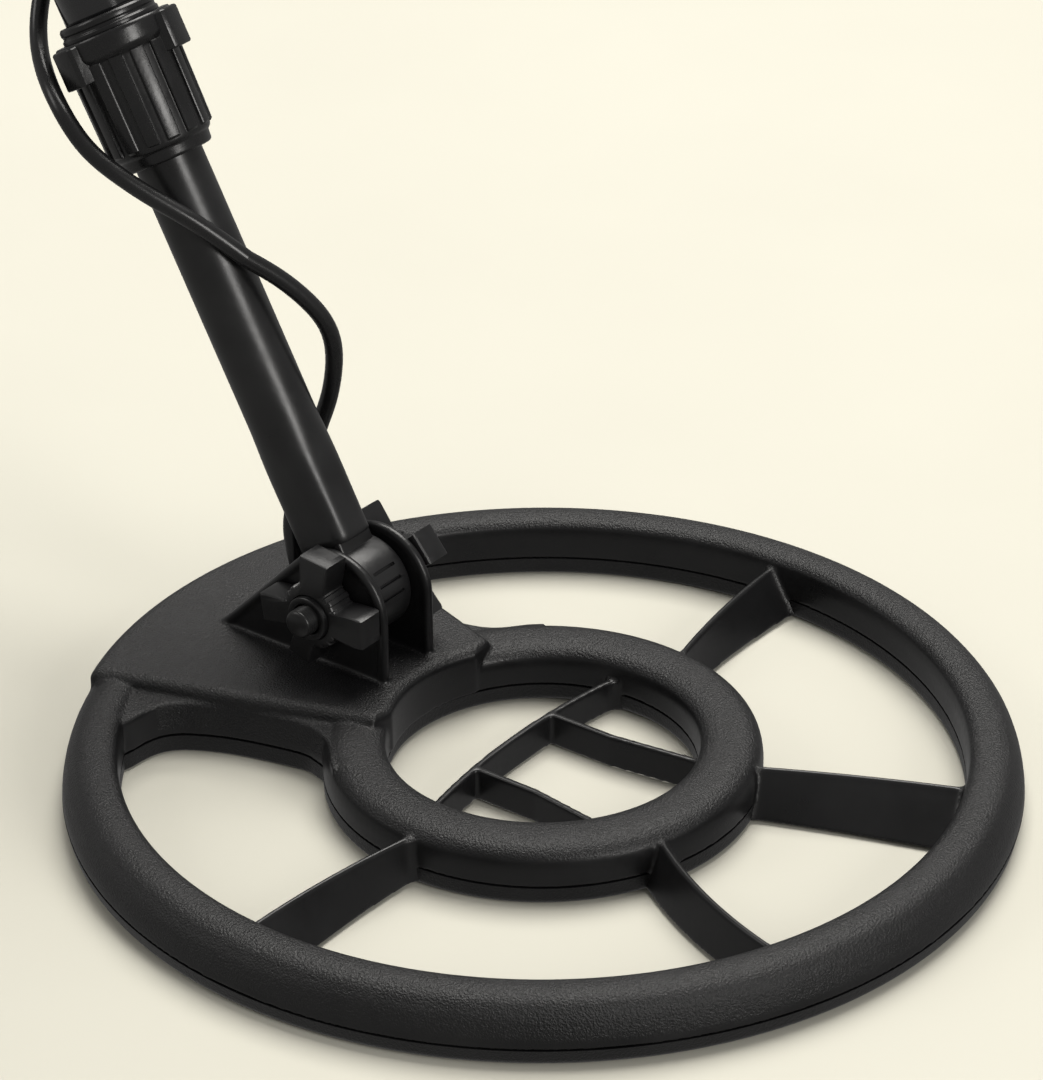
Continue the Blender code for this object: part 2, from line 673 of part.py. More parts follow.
# (y, z) of the leaf spring: outside of the U, then its inside
LEAF = [(7.6, 14.0), (7.6, -10.0), (4.6, -14.0), (-4.6, -14.0), (-7.6, -10.0), (-7.6, 14.0),
        (-6.9, 14.0), (-6.9, -9.8), (-4.3, -13.3), (4.3, -13.3), (6.9, -9.8), (6.9, 14.0)]

piece("upper_tube", upper_tube(), ANODISED, shaft_axis)
# the button stands out on the -Y side
button_axis = empty("spring_button_axis", (0, 0, BUTTON_Z), parent=shaft_axis)
piece("spring_button", cyl(2.7, 8.2, 15.6, 16, ALONG_Y), STEEL, button_axis)
piece("button_leaf_spring", plate(LEAF, -2.4, 2.4, shift(0, 0, BUTTON_Z) @ ACROSS), STEEL,
      shaft_axis)

# ======================================================================
# Handle grip and end plug
# ======================================================================
GRIP_HALF = 52.0
grip = turned([(15.5, GRIP_HALF), (17.6, GRIP_HALF - 3.5), (18.2, GRIP_HALF - 20), (17.2, 0),
               (18.2, 20 - GRIP_HALF), (17.6, 3.5 - GRIP_HALF), (15.5, -GRIP_HALF),
               (UP_R + 0.3, -GRIP_HALF), (UP_R + 0.3, GRIP_HALF)],
              24, on_line(handle_middle, HANDLE_DIR))
piece("handle_foam_grip", grip, FOAM, shaft_axis)
end_plug = turned([(0, 6.0), (10.0, 6.0), (13.0, 3.5), (13.0, 0.3), (UP_BORE - 0.8, 0.3),
                   (UP_BORE - 1.0, -14.0), (0, -14.0)],
                  24, on_line(tube_end, FOREARM_DIR), closed=False)
piece("tube_end_plug", end_plug, RUBBER, shaft_axis)

# ======================================================================
# Arm cuff and stand. Cuff frame: Z along the forearm, X up away from the tube
# ======================================================================
CUFF_R, CUFF_T, CUFF_L = 50.0, 3.2, 92.0
CUFF_X = UP_R + 4.6 + CUFF_R + CUFF_T       # axis of the trough
CLAMP_X = UP_R * 0.35       # saddle and stand stop this far from the tube's axis
CLAMP_Y, CLAMP_Z = 11.0, 24                 # their half width and half length
CUFF_HOLE_R = 3.4

# (x, y) of the stand's leg
STAND_LEG = [(-12.0, -9), (-12.0, 9), (-40, 20), (-64, 40), (-70, 40), (-70, 33), (-48, 13),
             (-45, 0), (-48, -13), (-70, -33), (-70, -40), (-64, -40), (-40, -20)]


def trough(inner, outer, half_angle, half_length, steps):
    """Curved trough, open on its +X side."""
    points = (arc(CUFF_X, 0, outer, 180 - half_angle, 180 + half_angle, steps)
              + arc(CUFF_X, 0, inner, 180 + half_angle, 180 - half_angle, steps))
    return plate(points, -half_length, half_length)


def arm_cuff():
    cuff = trough(CUFF_R, CUFF_R + CUFF_T, 96, CUFF_L / 2, 16)
    saddle = box(CLAMP_X, CUFF_X - CUFF_R - 0.6, -CLAMP_Y, CLAMP_Y, -CLAMP_Z, CLAMP_Z)
    cuff = join(cuff, cut(saddle, cyl(UP_R + 0.35, -60, 60, 28)))
    cuff = cut(cuff, cyl(CUFF_HOLE_R, 0, CUFF_X, 14, ALONG_X))
    for y0, y1 in ((-60, -44), (44, 60)):       # strap slots
        cuff = cut(cuff, box(CUFF_X - 4, CUFF_X + 1.5, y0, y1, -16, 16))
    return cuff


def stand_foot():
    body = box(-CLAMP_X - 11.0, -CLAMP_X, -CLAMP_Y, CLAMP_Y, -CLAMP_Z, CLAMP_Z)
    body = join(body, plate(STAND_LEG, -7, 7))
    return cut(body,
               cyl(UP_R + 0.4, -60, 60, 28),
               cyl(CUFF_HOLE_R, -60, 0, 14, ALONG_X),
               cyl(7.2, -80, -16.0, 6, ALONG_X))      # nut pocket


cuff_axis = empty("cuff_axis", (cuff_at[1], 0, cuff_at[0]), (0, FOREARM_DIR, 0), shaft_axis)
piece("arm_cuff", arm_cuff(), PLASTIC, cuff_axis)
cuff_pad = cut(trough(CUFF_R - 4.3, CUFF_R - 0.3, 74, CUFF_L / 2 - 4, 12),
               cyl(7.0, 0, CUFF_X, 14, ALONG_X))
piece("arm_cuff_pad", cuff_pad, FOAM, cuff_axis)
piece("stand_foot", stand_foot(), PLASTIC, cuff_axis)
# the bolt passes cuff, tube and stand; the nut holds it in the stand
cuff_bolt = turned([(0, 3.4), (3.8, 2.9), (5.4, 0.9), (3.0, 0.9), (3.0, -48.0), (0, -48.0)],
                   14, shift(CUFF_X - CUFF_R, 0, 0) @ ALONG_X, closed=False)
piece("cuff_bolt", cuff_bolt, STEEL, cuff_axis)
cuff_nut = cut(cyl(6.2, -5.5, 0, 6), cyl(3.25, -10, 10, 14))
cuff_nut.data.transform(shift(-16.6, 0, 0) @ ALONG_X)
piece("cuff_nut", cuff_nut, STEEL, cuff_axis)
# strap over the forearm, between the two slots
arm_strap = plate(arc(CUFF_X, 0, CUFF_R + 1.6, -76, 76, 12)
                  + arc(CUFF_X, 0, CUFF_R, 76, -76, 12), -12.5, 12.5)
piece("arm_strap", arm_strap, WEBBING, cuff_axis)

# ======================================================================
# Control box at the top of the handle. Box frame: Z out of the display, Y from the
# bracket end to the far end, X to the user's right (-Y of the shaft frame)
# ======================================================================
BOX_TURN = 40.0             # the display looks this far from the shaft's Z towards its X
BOX_W, BOX_H, BOX_D = 96.0, 122.0, 46.0
BOX_CORNER, BOX_WALL = 11.0, 2.4
BOX_END, BOX_FACE = -BOX_H / 2, BOX_D / 2   # bracket end (y) and display face (z)
BOX_LIFT = 7.0              # gap from the tube bend to the box
SPLIT_Z = 6.0               # joint between the two shells
DOOR_W, DOOR_H, DOOR_Y = 62.0, 58.0, -24.0
LCD_W, LCD_H, LCD_Y = 66.0, 46.0, 24.0
SPEAKER_Y = 30
SCREW_X, SCREW_Y = BOX_W / 2 - 9, BOX_H / 2 - 9
SCREWS = [(side_x * SCREW_X, side_y * SCREW_Y) for side_x in (-1, 1) for side_y in (-1, 1)]
BRACKET_SCREW_X = 19.0
JACK_X, JACK_Y, JACK_Z = BOX_W / 2, 6.0, -8.0
PLUG_X, PLUG_Z = 33.0, -8.0
BUTTONS = {                 # x, y, radius
    "power_button": (0.0, -44.0, 6.4),
    "mode_button": (-27.0, -16.0, 5.6),
    "pinpoint_button": (27.0, -16.0, 5.6),
    "minus_button": (-27.0, -36.0, 5.6),
    "plus_button": (27.0, -36.0, 5.6),
}

sine, cosine = math.sin(math.radians(BOX_TURN)), math.cos(math.radians(BOX_TURN))
box_z, box_x = ahead(bend2_centre, BOX_TURN + 90, BEND2_R + UP_R + BOX_LIFT + BOX_H / 2)
box_frame = Matrix(((0, cosine, sine, box_x * MM), (-1, 0, 0, 0),
                    (0, -sine, cosine, box_z * MM), (0, 0, 0, 1)))
box_axis = empty("box_axis", (0, 0, 0), parent=shaft_axis)
box_axis.matrix_local = box_frame
jack_frame = shift(JACK_X, JACK_Y, JACK_Z) @ ALONG_X
plug_frame = shift(PLUG_X, BOX_END, PLUG_Z) @ ALONG_Y       # Z away from the box


def case_block(z0, z1, place, top):
    return plate(rounded_rect(BOX_W, BOX_H, BOX_CORNER), z0, z1, place, top=top)


def case_cavity(z0, z1):
    return plate(rounded_rect(BOX_W - 2 * BOX_WALL, BOX_H - 2 * BOX_WALL,
                              BOX_CORNER - BOX_WALL), z0, z1)


def box_rear_shell():
    """The -Z half, with openings for battery, sockets, speaker and screws."""
    end0, end1 = BOX_H / 2 - 8, BOX_H / 2 + 8
    shell = case_block(-SPLIT_Z, BOX_FACE, turn(180, "Y"), top=4.0)
    shell = cut(shell, case_cavity(-BOX_FACE + BOX_WALL, SPLIT_Z + 5))
    shell = cut(shell, plate(rounded_rect(DOOR_W - 6, DOOR_H - 6, 3, 2, 0, DOOR_Y), -40, -15))
    shell = cut(shell, *[cyl(1.9, -40, 0, 8, shift(x, y, 0)) for x, y in SCREWS])
    shell = cut(shell, cyl(4.4, 40, 60, 14, shift(0, JACK_Y, JACK_Z) @ ALONG_X))
    shell = cut(shell, cyl(7.4, end0, end1, 16, shift(PLUG_X, 0, PLUG_Z) @ ALONG_Y))
    for i in range(-2, 3):      # speaker slots
        y = SPEAKER_Y + 5 * i
        shell = cut(shell, box(-14, 14, y - 1.0, y + 1.0, -40, -15))
    return cut(shell, *[cyl(1.8, end0, end1, 8, shift(x, 0, 0) @ ALONG_Y)
                        for x in (-BRACKET_SCREW_X, BRACKET_SCREW_X)])


def box_front_shell():
    """The +Z half, with the display window and button holes."""
    shell = case_block(SPLIT_Z + 0.3, BOX_FACE, None, top=3.5)
    shell = cut(shell, case_cavity(0, BOX_FACE - BOX_WALL - 0.4))
    shell = cut(shell, plate(rounded_rect(LCD_W, LCD_H, 4, 2, 0, LCD_Y), BOX_FACE - 1.3, 40))
    shell = cut(shell, plate(rounded_rect(LCD_W - 6, LCD_H - 6, 2, 2, 0, LCD_Y), 10, 40))
    return cut(shell, *[cyl(radius + 0.4, 10, 40, 16, shift(x, y, 0))
                        for x, y, radius in BUTTONS.values()])


piece("box_rear_shell", box_rear_shell(), CASE, box_axis)
piece("box_front_shell", box_front_shell(), CASE, box_axis)
window = plate(rounded_rect(LCD_W - 0.8, LCD_H - 0.8, 3.6, 3, 0, LCD_Y),
               BOX_FACE - 1.0, BOX_FACE + 0.1)
piece("display_window", window, WINDOW, box_axis)
piece("lcd_panel", box(-31, 31, LCD_Y - 21, LCD_Y + 21, 15.2, 18.4), LCD, box_axis)
piece("circuit_board", plate(rounded_rect(82, 104, 3, 2), 8.6, 10.2), BOARD, box_axis)
speaker = turned([(0, 0), (19.0, 0), (19.0, 3.0), (12.0, 7.0), (0, 7.0)], 20,
                 shift(0, SPEAKER_Y, -BOX_FACE + BOX_WALL + 0.4), closed=False)
piece("speaker", speaker, SPEAKER, box_axis)
for name, x0 in (("battery_left", -27.4), ("battery_right", 0.9)):
    piece(name, box(x0, x0 + 26.5, -50.0, -1.5, -18.6, -1.1, chamfer=1.6), BATTERY, box_axis)
for name, (x, y, radius) in BUTTONS.items():
    cap = turned([(0, BOX_FACE + 1.6), (radius - 1.0, BOX_FACE + 1.5),
                  (radius, BOX_FACE + 0.6), (radius, 14.0), (radius + 1.6, 14.0),
                  (radius + 1.6, 12.2), (0, 12.2)], 16, closed=False)
    piece(name, cap, RUBBER, empty(name + "_axis", (x, y, 0), parent=box_axis))
door_axis = empty("battery_door_axis", (0, DOOR_Y - DOOR_H / 2, -BOX_FACE - 2.6),
                  parent=box_axis)
piece("battery_door", plate(rounded_rect(DOOR_W, DOOR_H, 4, 3, 0, DOOR_H / 2), 0, 2.3), CASE,
      door_axis)
for letter, (x, y) in zip("abcd", SCREWS):
    screw = turned([(0, 2.0), (1.8, 1.9), (3.0, 1.3), (3.2, 0.3), (1.5, 0.3), (1.5, -10.0),
                    (0, -10.0)], 10, shift(x, y, -BOX_FACE) @ turn(180, "Y"), closed=False)
    piece("case_screw_" + letter, screw, STEEL, box_axis)

# headphone socket on the +X side and its cover
headphone = turned([(4.1, 1.6), (4.1, -9.0), (1.9, -9.0), (1.9, 1.6)], 14, jack_frame)
piece("headphone_socket", headphone, PLASTIC, box_axis)
cover_axis = empty("socket_cover_axis", (JACK_X + 4.4, JACK_Y + 9.0, JACK_Z), parent=box_axis)
piece("socket_cover", box(-2.2, 0, -17.0, 0, -6.5, 6.5, chamfer=0.6), RUBBER, cover_axis)

# coil cable socket, plug and screw ring at the bracket end
socket = turned([(4.4, 1.0), (4.4, -8.0), (7.0, -8.0), (7.0, 1.0)], 16, plug_frame)
piece("cable_socket", socket, PLASTIC, box_axis)
cable_plug = turned([(0, 30.0), (3.4, 30.0), (4.4, 19.0), (6.2, 17.0), (6.2, 1.6), (4.0, 1.6),
                     (4.0, -6.0), (0, -6.0)], 16, plug_frame, closed=False)
piece("cable_plug", cut(cable_plug, cyl(CABLE_HOLE_R, 24, 50, 12, plug_frame)), PLASTIC,
      box_axis)
ring_axis = empty("plug_ring_axis", (PLUG_X, BOX_END, PLUG_Z), (90, 0, 0), box_axis)
plug_ring = turned([(6.6, 15.0), (6.6, 2.6), (8.6, 2.6), (9.2, 4.0), (9.2, 13.6),
                    (8.6, 15.0)], 20)
piece("plug_ring", plug_ring, PLASTIC, ring_axis)


def box_bracket():
    """Saddle on the tube bend, screwed to the end of the box."""
    body = box(-22.5, 22.5, BOX_END - BOX_LIFT + 0.8, BOX_END - 0.4, -13, 13, chamfer=1.2)
    body = join(body, box(-15.0, 15.0, BOX_END - BOX_LIFT - 14.0, BOX_END - 2.0, -12, 12))
    body.data.transform(box_frame)
    body = cut(body, tube_wire(tube_line, UP_R + 0.5))
    return cut(body, *[cyl(1.9, -30, 30, 8, box_frame @ shift(x, BOX_END, 0) @ ALONG_Y)
                       for x in (-BRACKET_SCREW_X, BRACKET_SCREW_X)])


piece("box_bracket", box_bracket(), PLASTIC, shaft_axis)
for name, x in (("left", -BRACKET_SCREW_X), ("right", BRACKET_SCREW_X)):
    screw = turned([(0, 4.6), (1.5, 4.6), (1.5, -7.6), (3.0, -7.6), (2.7, -9.0), (0, -9.2)],
                   10, shift(x, BOX_END, 0) @ turn(-90, "X"), closed=False)
    piece("bracket_screw_" + name, screw, STEEL, box_axis)

# ======================================================================
# Coil cable: wound round the tubes between the plug and the gland
# ======================================================================
CROSSING_DIR = math.radians(-45.3)      # from the shaft's X towards +Y, sets "depth" below
WRAP_BOTTOM, WRAP_TOP, WRAP_STEPS = 200.0, 445.0, 18
WRAP_PITCH, WRAP_ZERO = 168.0, 109.0    # height per turn, height of zero angle

# (z, sideways, depth) of the cable round the lower lock nut, upwards
CABLE_LOW = [(94.0, 8.4, 9.7), (109.0, -0.4, 13.0), (119.6, -8.6, 13.8), (128.0, -13.6, 14.4),
             (136.5, -18.4, 12.4), (151.0, -20.6, 9.0), (164.5, -20.3, -8.0),
             (177.0, -14.6, -15.4)]
# the same at the upper lock nut
CABLE_HIGH = [(465.0, -1.0, 25.0), (490.0, 0.0, 25.5)]
# the same from the rod down towards the gland
CABLE_TAIL = [(93.5, 8.7, 9.5), (84.0, 15.1, 5.0), (71.0, 20.4, -1.0), (61.0, 19.9, -5.5),
              (49.5, 13.9, -11.5), (41.0, 6.5, -15.2)]


def beside(z, sideways, depth):
    """Point at z along the shaft, depth along the crossing direction, sideways across it."""
    sine, cosine = math.sin(CROSSING_DIR), math.cos(CROSSING_DIR)
    return Vector((depth * cosine - sideways * sine, depth * sine + sideways * cosine, z))


def wrap_point(k):
    """Point k of the helix, which stands off further at two heights."""
    z = WRAP_BOTTOM + (WRAP_TOP - WRAP_BOTTOM) * k / WRAP_STEPS
    angle = math.radians(-(z - WRAP_ZERO) / WRAP_PITCH * 360.0)
    radius = (14.0 + 10.0 * math.exp(-((z - 452.0) / 24.0) ** 2)
              + 3.0 * math.exp(-((z - 330.0) / 40.0) ** 2))
    return beside(z, radius * math.sin(angle), radius * math.cos(angle))


def transformed(matrix, points):
    return [matrix @ (Vector(point) * MM) / MM for point in points]


def smooth_path(controls, step):
    """Catmull-Rom curve through the controls, sampled about every step."""
    path = []
    last = len(controls) - 1
    for i in range(last):
        before, start = controls[max(i - 1, 0)], controls[i]
        end, after = controls[i + 1], controls[min(i + 2, last)]
        count = max(1, round((end - start).length / step))
        for j in range(count):
            part = j / count
            path.append(0.5 * ((2 * start) + (end - before) * part
                               + (2 * before - 5 * start + 4 * end - after) * part * part
                               + (3 * start - before - 3 * end + after) * part ** 3))
    path.append(controls[-1])
    return path


def cable(controls, step):
    return wire([tuple(point) for point in smooth_path(controls, step)], CABLE_R, 1)


into_plug = transformed(box_frame @ plug_frame,
                        [(-3, 10, 78.0), (0, 0, 48.0), (0, 0, 34.0), (0, 0, 25.0)])
main_run = ([beside(*row) for row in CABLE_LOW]
            + [wrap_point(k) for k in range(WRAP_STEPS + 1)]
            + [beside(*row) for row in CABLE_HIGH]
            + [Vector((24.0, -22.0, 525.0)), Vector((44.0, -30.0, 565.0))] + into_plug)
piece("coil_cable_shaft", cable(main_run, 11.0), JACKET, shaft_axis)

shaft_frame = shift(*pivot) @ turn(TILT, "Y")
into_gland = transformed(shaft_frame.inverted(),
                         [(GLAND_X - 4.0, GLAND_Y + 2.0, 50.0), (GLAND_X, GLAND_Y, 36.0),
                          (GLAND_X, GLAND_Y, 25.0)])
tail_run = [beside(*row) for row in CABLE_TAIL] + into_gland
piece("coil_cable_tail", cable(tail_run, 8.0), JACKET, shaft_axis)

for name, z in (("cable_strap_lower", 232.0), ("cable_strap_upper", 392.0)):
    band = turned([(18.2, z + 7), (18.2, z - 7), (17.0, z - 7), (17.0, z + 7)], 20)
    piece(name, band, WEBBING, shaft_axis)

# the origin moves from the coil's centre to the point on its underside below the pivot
datum = empty("below_pivot", (0, 0, 0))
for part in list(PARTS.objects):
    if part.parent is None and part is not datum:
        part.parent = datum
datum.location = (-PIVOT_X * MM, 0, 0)
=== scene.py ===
import bpy, bmesh, math
import numpy as np
from mathutils import Vector, Matrix, noise


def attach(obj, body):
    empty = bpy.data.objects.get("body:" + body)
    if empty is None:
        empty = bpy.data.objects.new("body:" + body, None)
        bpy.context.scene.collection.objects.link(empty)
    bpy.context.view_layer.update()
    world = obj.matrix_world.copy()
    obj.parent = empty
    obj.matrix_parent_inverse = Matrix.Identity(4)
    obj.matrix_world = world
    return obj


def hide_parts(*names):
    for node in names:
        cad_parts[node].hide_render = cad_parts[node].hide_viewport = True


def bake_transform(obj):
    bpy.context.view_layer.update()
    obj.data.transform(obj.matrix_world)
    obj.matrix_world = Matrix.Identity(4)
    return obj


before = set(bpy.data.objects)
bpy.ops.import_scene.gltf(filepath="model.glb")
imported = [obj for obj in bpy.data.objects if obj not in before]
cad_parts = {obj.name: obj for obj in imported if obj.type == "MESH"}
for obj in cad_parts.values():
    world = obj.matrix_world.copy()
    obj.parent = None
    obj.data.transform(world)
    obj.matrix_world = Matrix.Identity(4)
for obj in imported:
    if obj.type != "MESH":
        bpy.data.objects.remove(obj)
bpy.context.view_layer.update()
sc = bpy.context.scene
S = 0.001

# ---------------------------------------------------------------- frames
OX = 62.3                                   # the coil's centre is this far in front of the origin
M_COIL = Matrix.Translation((OX * S, 0, 0))
M_SHAFT = Matrix.Translation((0, 0, 0.0384)) @ Matrix.Rotation(-math.radians(28.4), 4, "Y")


def frame_of(p, x, y, z):
    return Matrix(((x[0], y[0], z[0], p[0]), (x[1], y[1], z[1], p[1]), (x[2], y[2], z[2], p[2]), (0, 0, 0, 1)))


M_BOX = frame_of((-0.137375, 0, 0.705717), (0, -1, 0), (0.979575, 0, -0.201078), (0.201078, 0, 0.979575))
M_CUFF = frame_of((-0.363247, 0, 0.899294), (0.726575, 0, 0.687088), (0, 1, 0), (-0.687088, 0, 0.726575))
M_PIV = Matrix.Translation((0, 0, 0.0384))


def T(x=0, y=0, z=0):
    return Matrix.Translation(Vector((x, y, z)) * S)


def R(deg, axis):
    return Matrix.Rotation(math.radians(deg), 4, axis)


# ---------------------------------------------------------------- meshes
def from_bm(bm, M=None):
    me = bpy.data.meshes.new("m")
    bm.to_mesh(me)
    bm.free()
    if M is not None:
        me.transform(M)
    return me


def tidy(me, weld=1e-7):
    bm = bmesh.new()
    bm.from_mesh(me)
    bmesh.ops.remove_doubles(bm, verts=bm.verts, dist=weld)
    bmesh.ops.recalc_face_normals(bm, faces=bm.faces)
    bm.to_mesh(me)
    bm.free()
    return me


def loft(rings, closed_u=True, caps=True, M=None):
    """Quads between rings of points (mm); each ring is a closed loop, the ends are capped."""
    bm = bmesh.new()
    vs = [[bm.verts.new(Vector(p) * S) for p in r] for r in rings]
    n = len(rings[0])
    for a, b in zip(vs, vs[1:]):
        for i in range(n if closed_u else n - 1):
            j = (i + 1) % n
            bm.faces.new((a[i], a[j], b[j], b[i]))
    if caps and closed_u:
        bm.faces.new(list(reversed(vs[0])))
        bm.faces.new(vs[-1])
    bmesh.ops.recalc_face_normals(bm, faces=bm.faces)
    return from_bm(bm, M)


def turned(profile, seg=96, M=None, closed=True, a0=0.0, wob=None):
    """A closed (r, z) profile in mm turned about Z. Points on the axis are merged."""
    bm = bmesh.new()
    cols = []
    for k in range(seg):
        a = math.radians(a0) + 2 * math.pi * k / seg
        c, s_ = math.cos(a), math.sin(a)
        col = []
        for i, (r, z) in enumerate(profile):
            rr = r + (wob(a, r, z) if wob and r > 0 else 0)
            col.append(bm.verts.new((rr * c * S, rr * s_ * S, z * S)))
        cols.append(col)
    n = len(profile)
    for k in range(seg):
        a, b = cols[k], cols[(k + 1) % seg]
        for i in range(n if closed else n - 1):
            j = (i + 1) % n
            bm.faces.new((a[i], b[i], b[j], a[j]))
    bmesh.ops.remove_doubles(bm, verts=bm.verts, dist=1e-7)
    bmesh.ops.dissolve_degenerate(bm, edges=bm.edges, dist=1e-7)
    bmesh.ops.recalc_face_normals(bm, faces=bm.faces)
    return from_bm(bm, M)


def rounded(profile, r, n=3, closed=True, keep=()):
    """Rounds the corners of a polyline profile by about r mm."""
    pts = [Vector(p) for p in profile]
    out = []
    m = len(pts)
    for i, p in enumerate(pts):
        if (not closed and i in (0, m - 1)) or i in keep or p.x < 1e-6:
            out.append((p.x, p.y))
            continue
        a, b = pts[i - 1], pts[(i + 1) % m]
        d1, d2 = a - p, b - p
        rr = min(r, d1.length * 0.45, d2.length * 0.45)
        if rr < 1e-4:
            out.append((p.x, p.y))
            continue
        p1, p2 = p + d1.normalized() * rr, p + d2.normalized() * rr
        for k in range(n + 1):
            t = k / n
            q = p1 * (1 - t) ** 2 + p * 2 * t * (1 - t) + p2 * t * t
            out.append((q.x, q.y))
    return out


def plate(points, z0, z1, M=None, top=0.0, segs=3, bottom=0.0):
    bm = bmesh.new()
    lo = [bm.verts.new((x * S, y * S, z0 * S)) for x, y in points]
    hi = [bm.verts.new((x * S, y * S, z1 * S)) for x, y in points]
    n = len(points)
    for i in range(n):
        j = (i + 1) % n
        bm.faces.new((lo[i], lo[j], hi[j], hi[i]))
    f1 = bm.faces.new(hi)
    f0 = bm.faces.new(list(reversed(lo)))
    bmesh.ops.recalc_face_normals(bm, faces=bm.faces)
    for d, f in ((top, f1), (bottom, f0)):
        if d:
            bmesh.ops.bevel(bm, geom=list(f.edges), offset=d * S, segments=segs, profile=0.5, affect="EDGES")
    return from_bm(bm, M)


def block(x0, x1, y0, y1, z0, z1, M=None, bev=0.0, segs=2):
    bm = bmesh.new()
    bmesh.ops.create_cube(bm, size=1.0)
    bmesh.ops.scale(bm, verts=bm.verts, vec=((x1 - x0) * S, (y1 - y0) * S, (z1 - z0) * S))
    if bev:
        bmesh.ops.bevel(bm, geom=bm.edges[:], offset=bev * S, segments=segs, profile=0.5, affect="EDGES")
    bmesh.ops.translate(bm, verts=bm.verts, vec=((x0 + x1) / 2 * S, (y0 + y1) / 2 * S, (z0 + z1) / 2 * S))
    return from_bm(bm, M)


def rod_mesh(r, z0, z1, seg=48, M=None, bev=0.3):
    return turned([(0, z0), (r - bev, z0), (r, z0 + bev), (r, z1 - bev), (r - bev, z1), (0, z1)], seg, M, closed=False)


def sweep(points, radius, seg=20, caps=True, M=None, squash=None):
    """A round section swept along points (mm), turned as little as possible. radius: number or f(t)."""
    P = [Vector(p) for p in points]
    n = len(P)
    rings = []
    d = (P[1] - P[0]).normalized()
    u = d.orthogonal().normalized()
    for i in range(n):
        d2 = (P[min(i + 1, n - 1)] - P[max(i - 1, 0)]).normalized()
        q = d.rotation_difference(d2)
        u = (q @ u).normalized()
        d = d2
        v = d.cross(u)
        rad = radius(i / (n - 1)) if callable(radius) else radius
        rings.append([P[i] + (u * math.cos(2 * math.pi * k / seg) + v * math.sin(2 * math.pi * k / seg)) * rad for k in range(seg)])
    return loft(rings, caps=caps, M=M)


def spline(ctrl, step):
    out = []
    ctrl = [Vector(p) for p in ctrl]
    n = len(ctrl)
    for i in range(n - 1):
        p0, p1, p2, p3 = ctrl[max(i - 1, 0)], ctrl[i], ctrl[i + 1], ctrl[min(i + 2, n - 1)]
        k = max(1, round((p2 - p1).length / step))
        for j in range(k):
            t = j / k
            out.append(0.5 * ((2 * p1) + (p2 - p0) * t + (2 * p0 - 5 * p1 + 4 * p2 - p3) * t * t + (3 * p1 - p0 - 3 * p2 + p3) * t ** 3))
    out.append(ctrl[-1])
    return out


def arc(cx, cy, r, a0, a1, n):
    return [(cx + r * math.cos(math.radians(a0 + (a1 - a0) * i / n)), cy + r * math.sin(math.radians(a0 + (a1 - a0) * i / n))) for i in range(n + 1)]


def temp(me):
    o = bpy.data.objects.new("t", me)
    sc.collection.objects.link(o)
    return o


def drop(o):
    bpy.data.objects.remove(o, do_unlink=True)


def baked(o):
    bpy.context.view_layer.update()
    dg = bpy.context.evaluated_depsgraph_get()
    me = bpy.data.meshes.new_from_object(o.evaluated_get(dg), depsgraph=dg)
    return me


def boolean(me, others, op="UNION", solver="EXACT"):
    for other in others:
        a, b = temp(me), temp(other)
        m = a.modifiers.new("b", "BOOLEAN")
        m.operation, m.solver, m.object = op, solver, b
        me = baked(a)
        drop(a)
        drop(b)
    return me


def joined(*meshes):
    bm = bmesh.new()
    for me in meshes:
        bm.from_mesh(me)
    return from_bm(bm)


def voxeled(me, size, smooth=4, factor=0.5, ratio=None):
    """Turns overlapping closed bodies into one, with small fillets where they meet."""
    o = temp(me)
    m = o.modifiers.new("r", "REMESH")
    m.mode = "VOXEL"
    m.voxel_size = size * S
    m.adaptivity = 0
    if smooth:
        s_ = o.modifiers.new("s", "SMOOTH")
        s_.factor, s_.iterations = factor, smooth
    if ratio:
        d = o.modifiers.new("d", "DECIMATE")
        d.ratio = ratio
    me = baked(o)
    drop(o)
    return me


def bevelled(me, width, segs=2, angle=30):
    o = temp(me)
    b = o.modifiers.new("b", "BEVEL")
    b.width, b.segments, b.limit_method, b.angle_limit = width * S, segs, "ANGLE", math.radians(angle)
    b.miter_outer = "MITER_ARC"
    b.use_clamp_overlap = True
    me = baked(o)
    drop(o)
    return me


def put(name, me, body, material, replaces=(), smooth=40, blend=None, weighted=False):
    o = bpy.data.objects.new(name, me)
    sc.collection.objects.link(o)
    me.materials.clear()
    for m in (material if isinstance(material, (list, tuple)) else [material]):
        me.materials.append(m)
    if smooth:
        me.shade_smooth()
        me.set_sharp_from_angle(angle=math.radians(smooth))
    if weighted:
        w = o.modifiers.new("w", "WEIGHTED_NORMAL")
        w.keep_sharp = True
    if replaces:
        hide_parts(*replaces)
    if blend:
        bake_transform(o)
    else:
        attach(o, body)
    return o


# ---------------------------------------------------------------- materials
def nt(name):
    m = bpy.data.materials.new(name)
    m.use_nodes = True
    t = m.node_tree
    return m, t, t.nodes["Principled BSDF"]


def node(t, kind, **kw):
    n = t.nodes.new(kind)
    for k, v in kw.items():
        if k in n.inputs.keys():
            n.inputs[k].default_value = v
        else:
            setattr(n, k, v)
    return n


def noise_of(t, scale, detail=3.0, rough=0.55, coord=None, stretch=None):
    c = coord
    if c is None:
        c = t.nodes.new("ShaderNodeTexCoord").outputs["Object"]
    if stretch:
        mp = t.nodes.new("ShaderNodeMapping")
        mp.inputs["Scale"].default_value = stretch
        t.links.new(c, mp.inputs["Vector"])
        c = mp.outputs["Vector"]
    n = t.nodes.new("ShaderNodeTexNoise")
    n.inputs["Scale"].default_value = scale
    n.inputs["Detail"].default_value = detail
    n.inputs["Roughness"].default_value = rough
    t.links.new(c, n.inputs["Vector"])
    return n.outputs["Fac"]


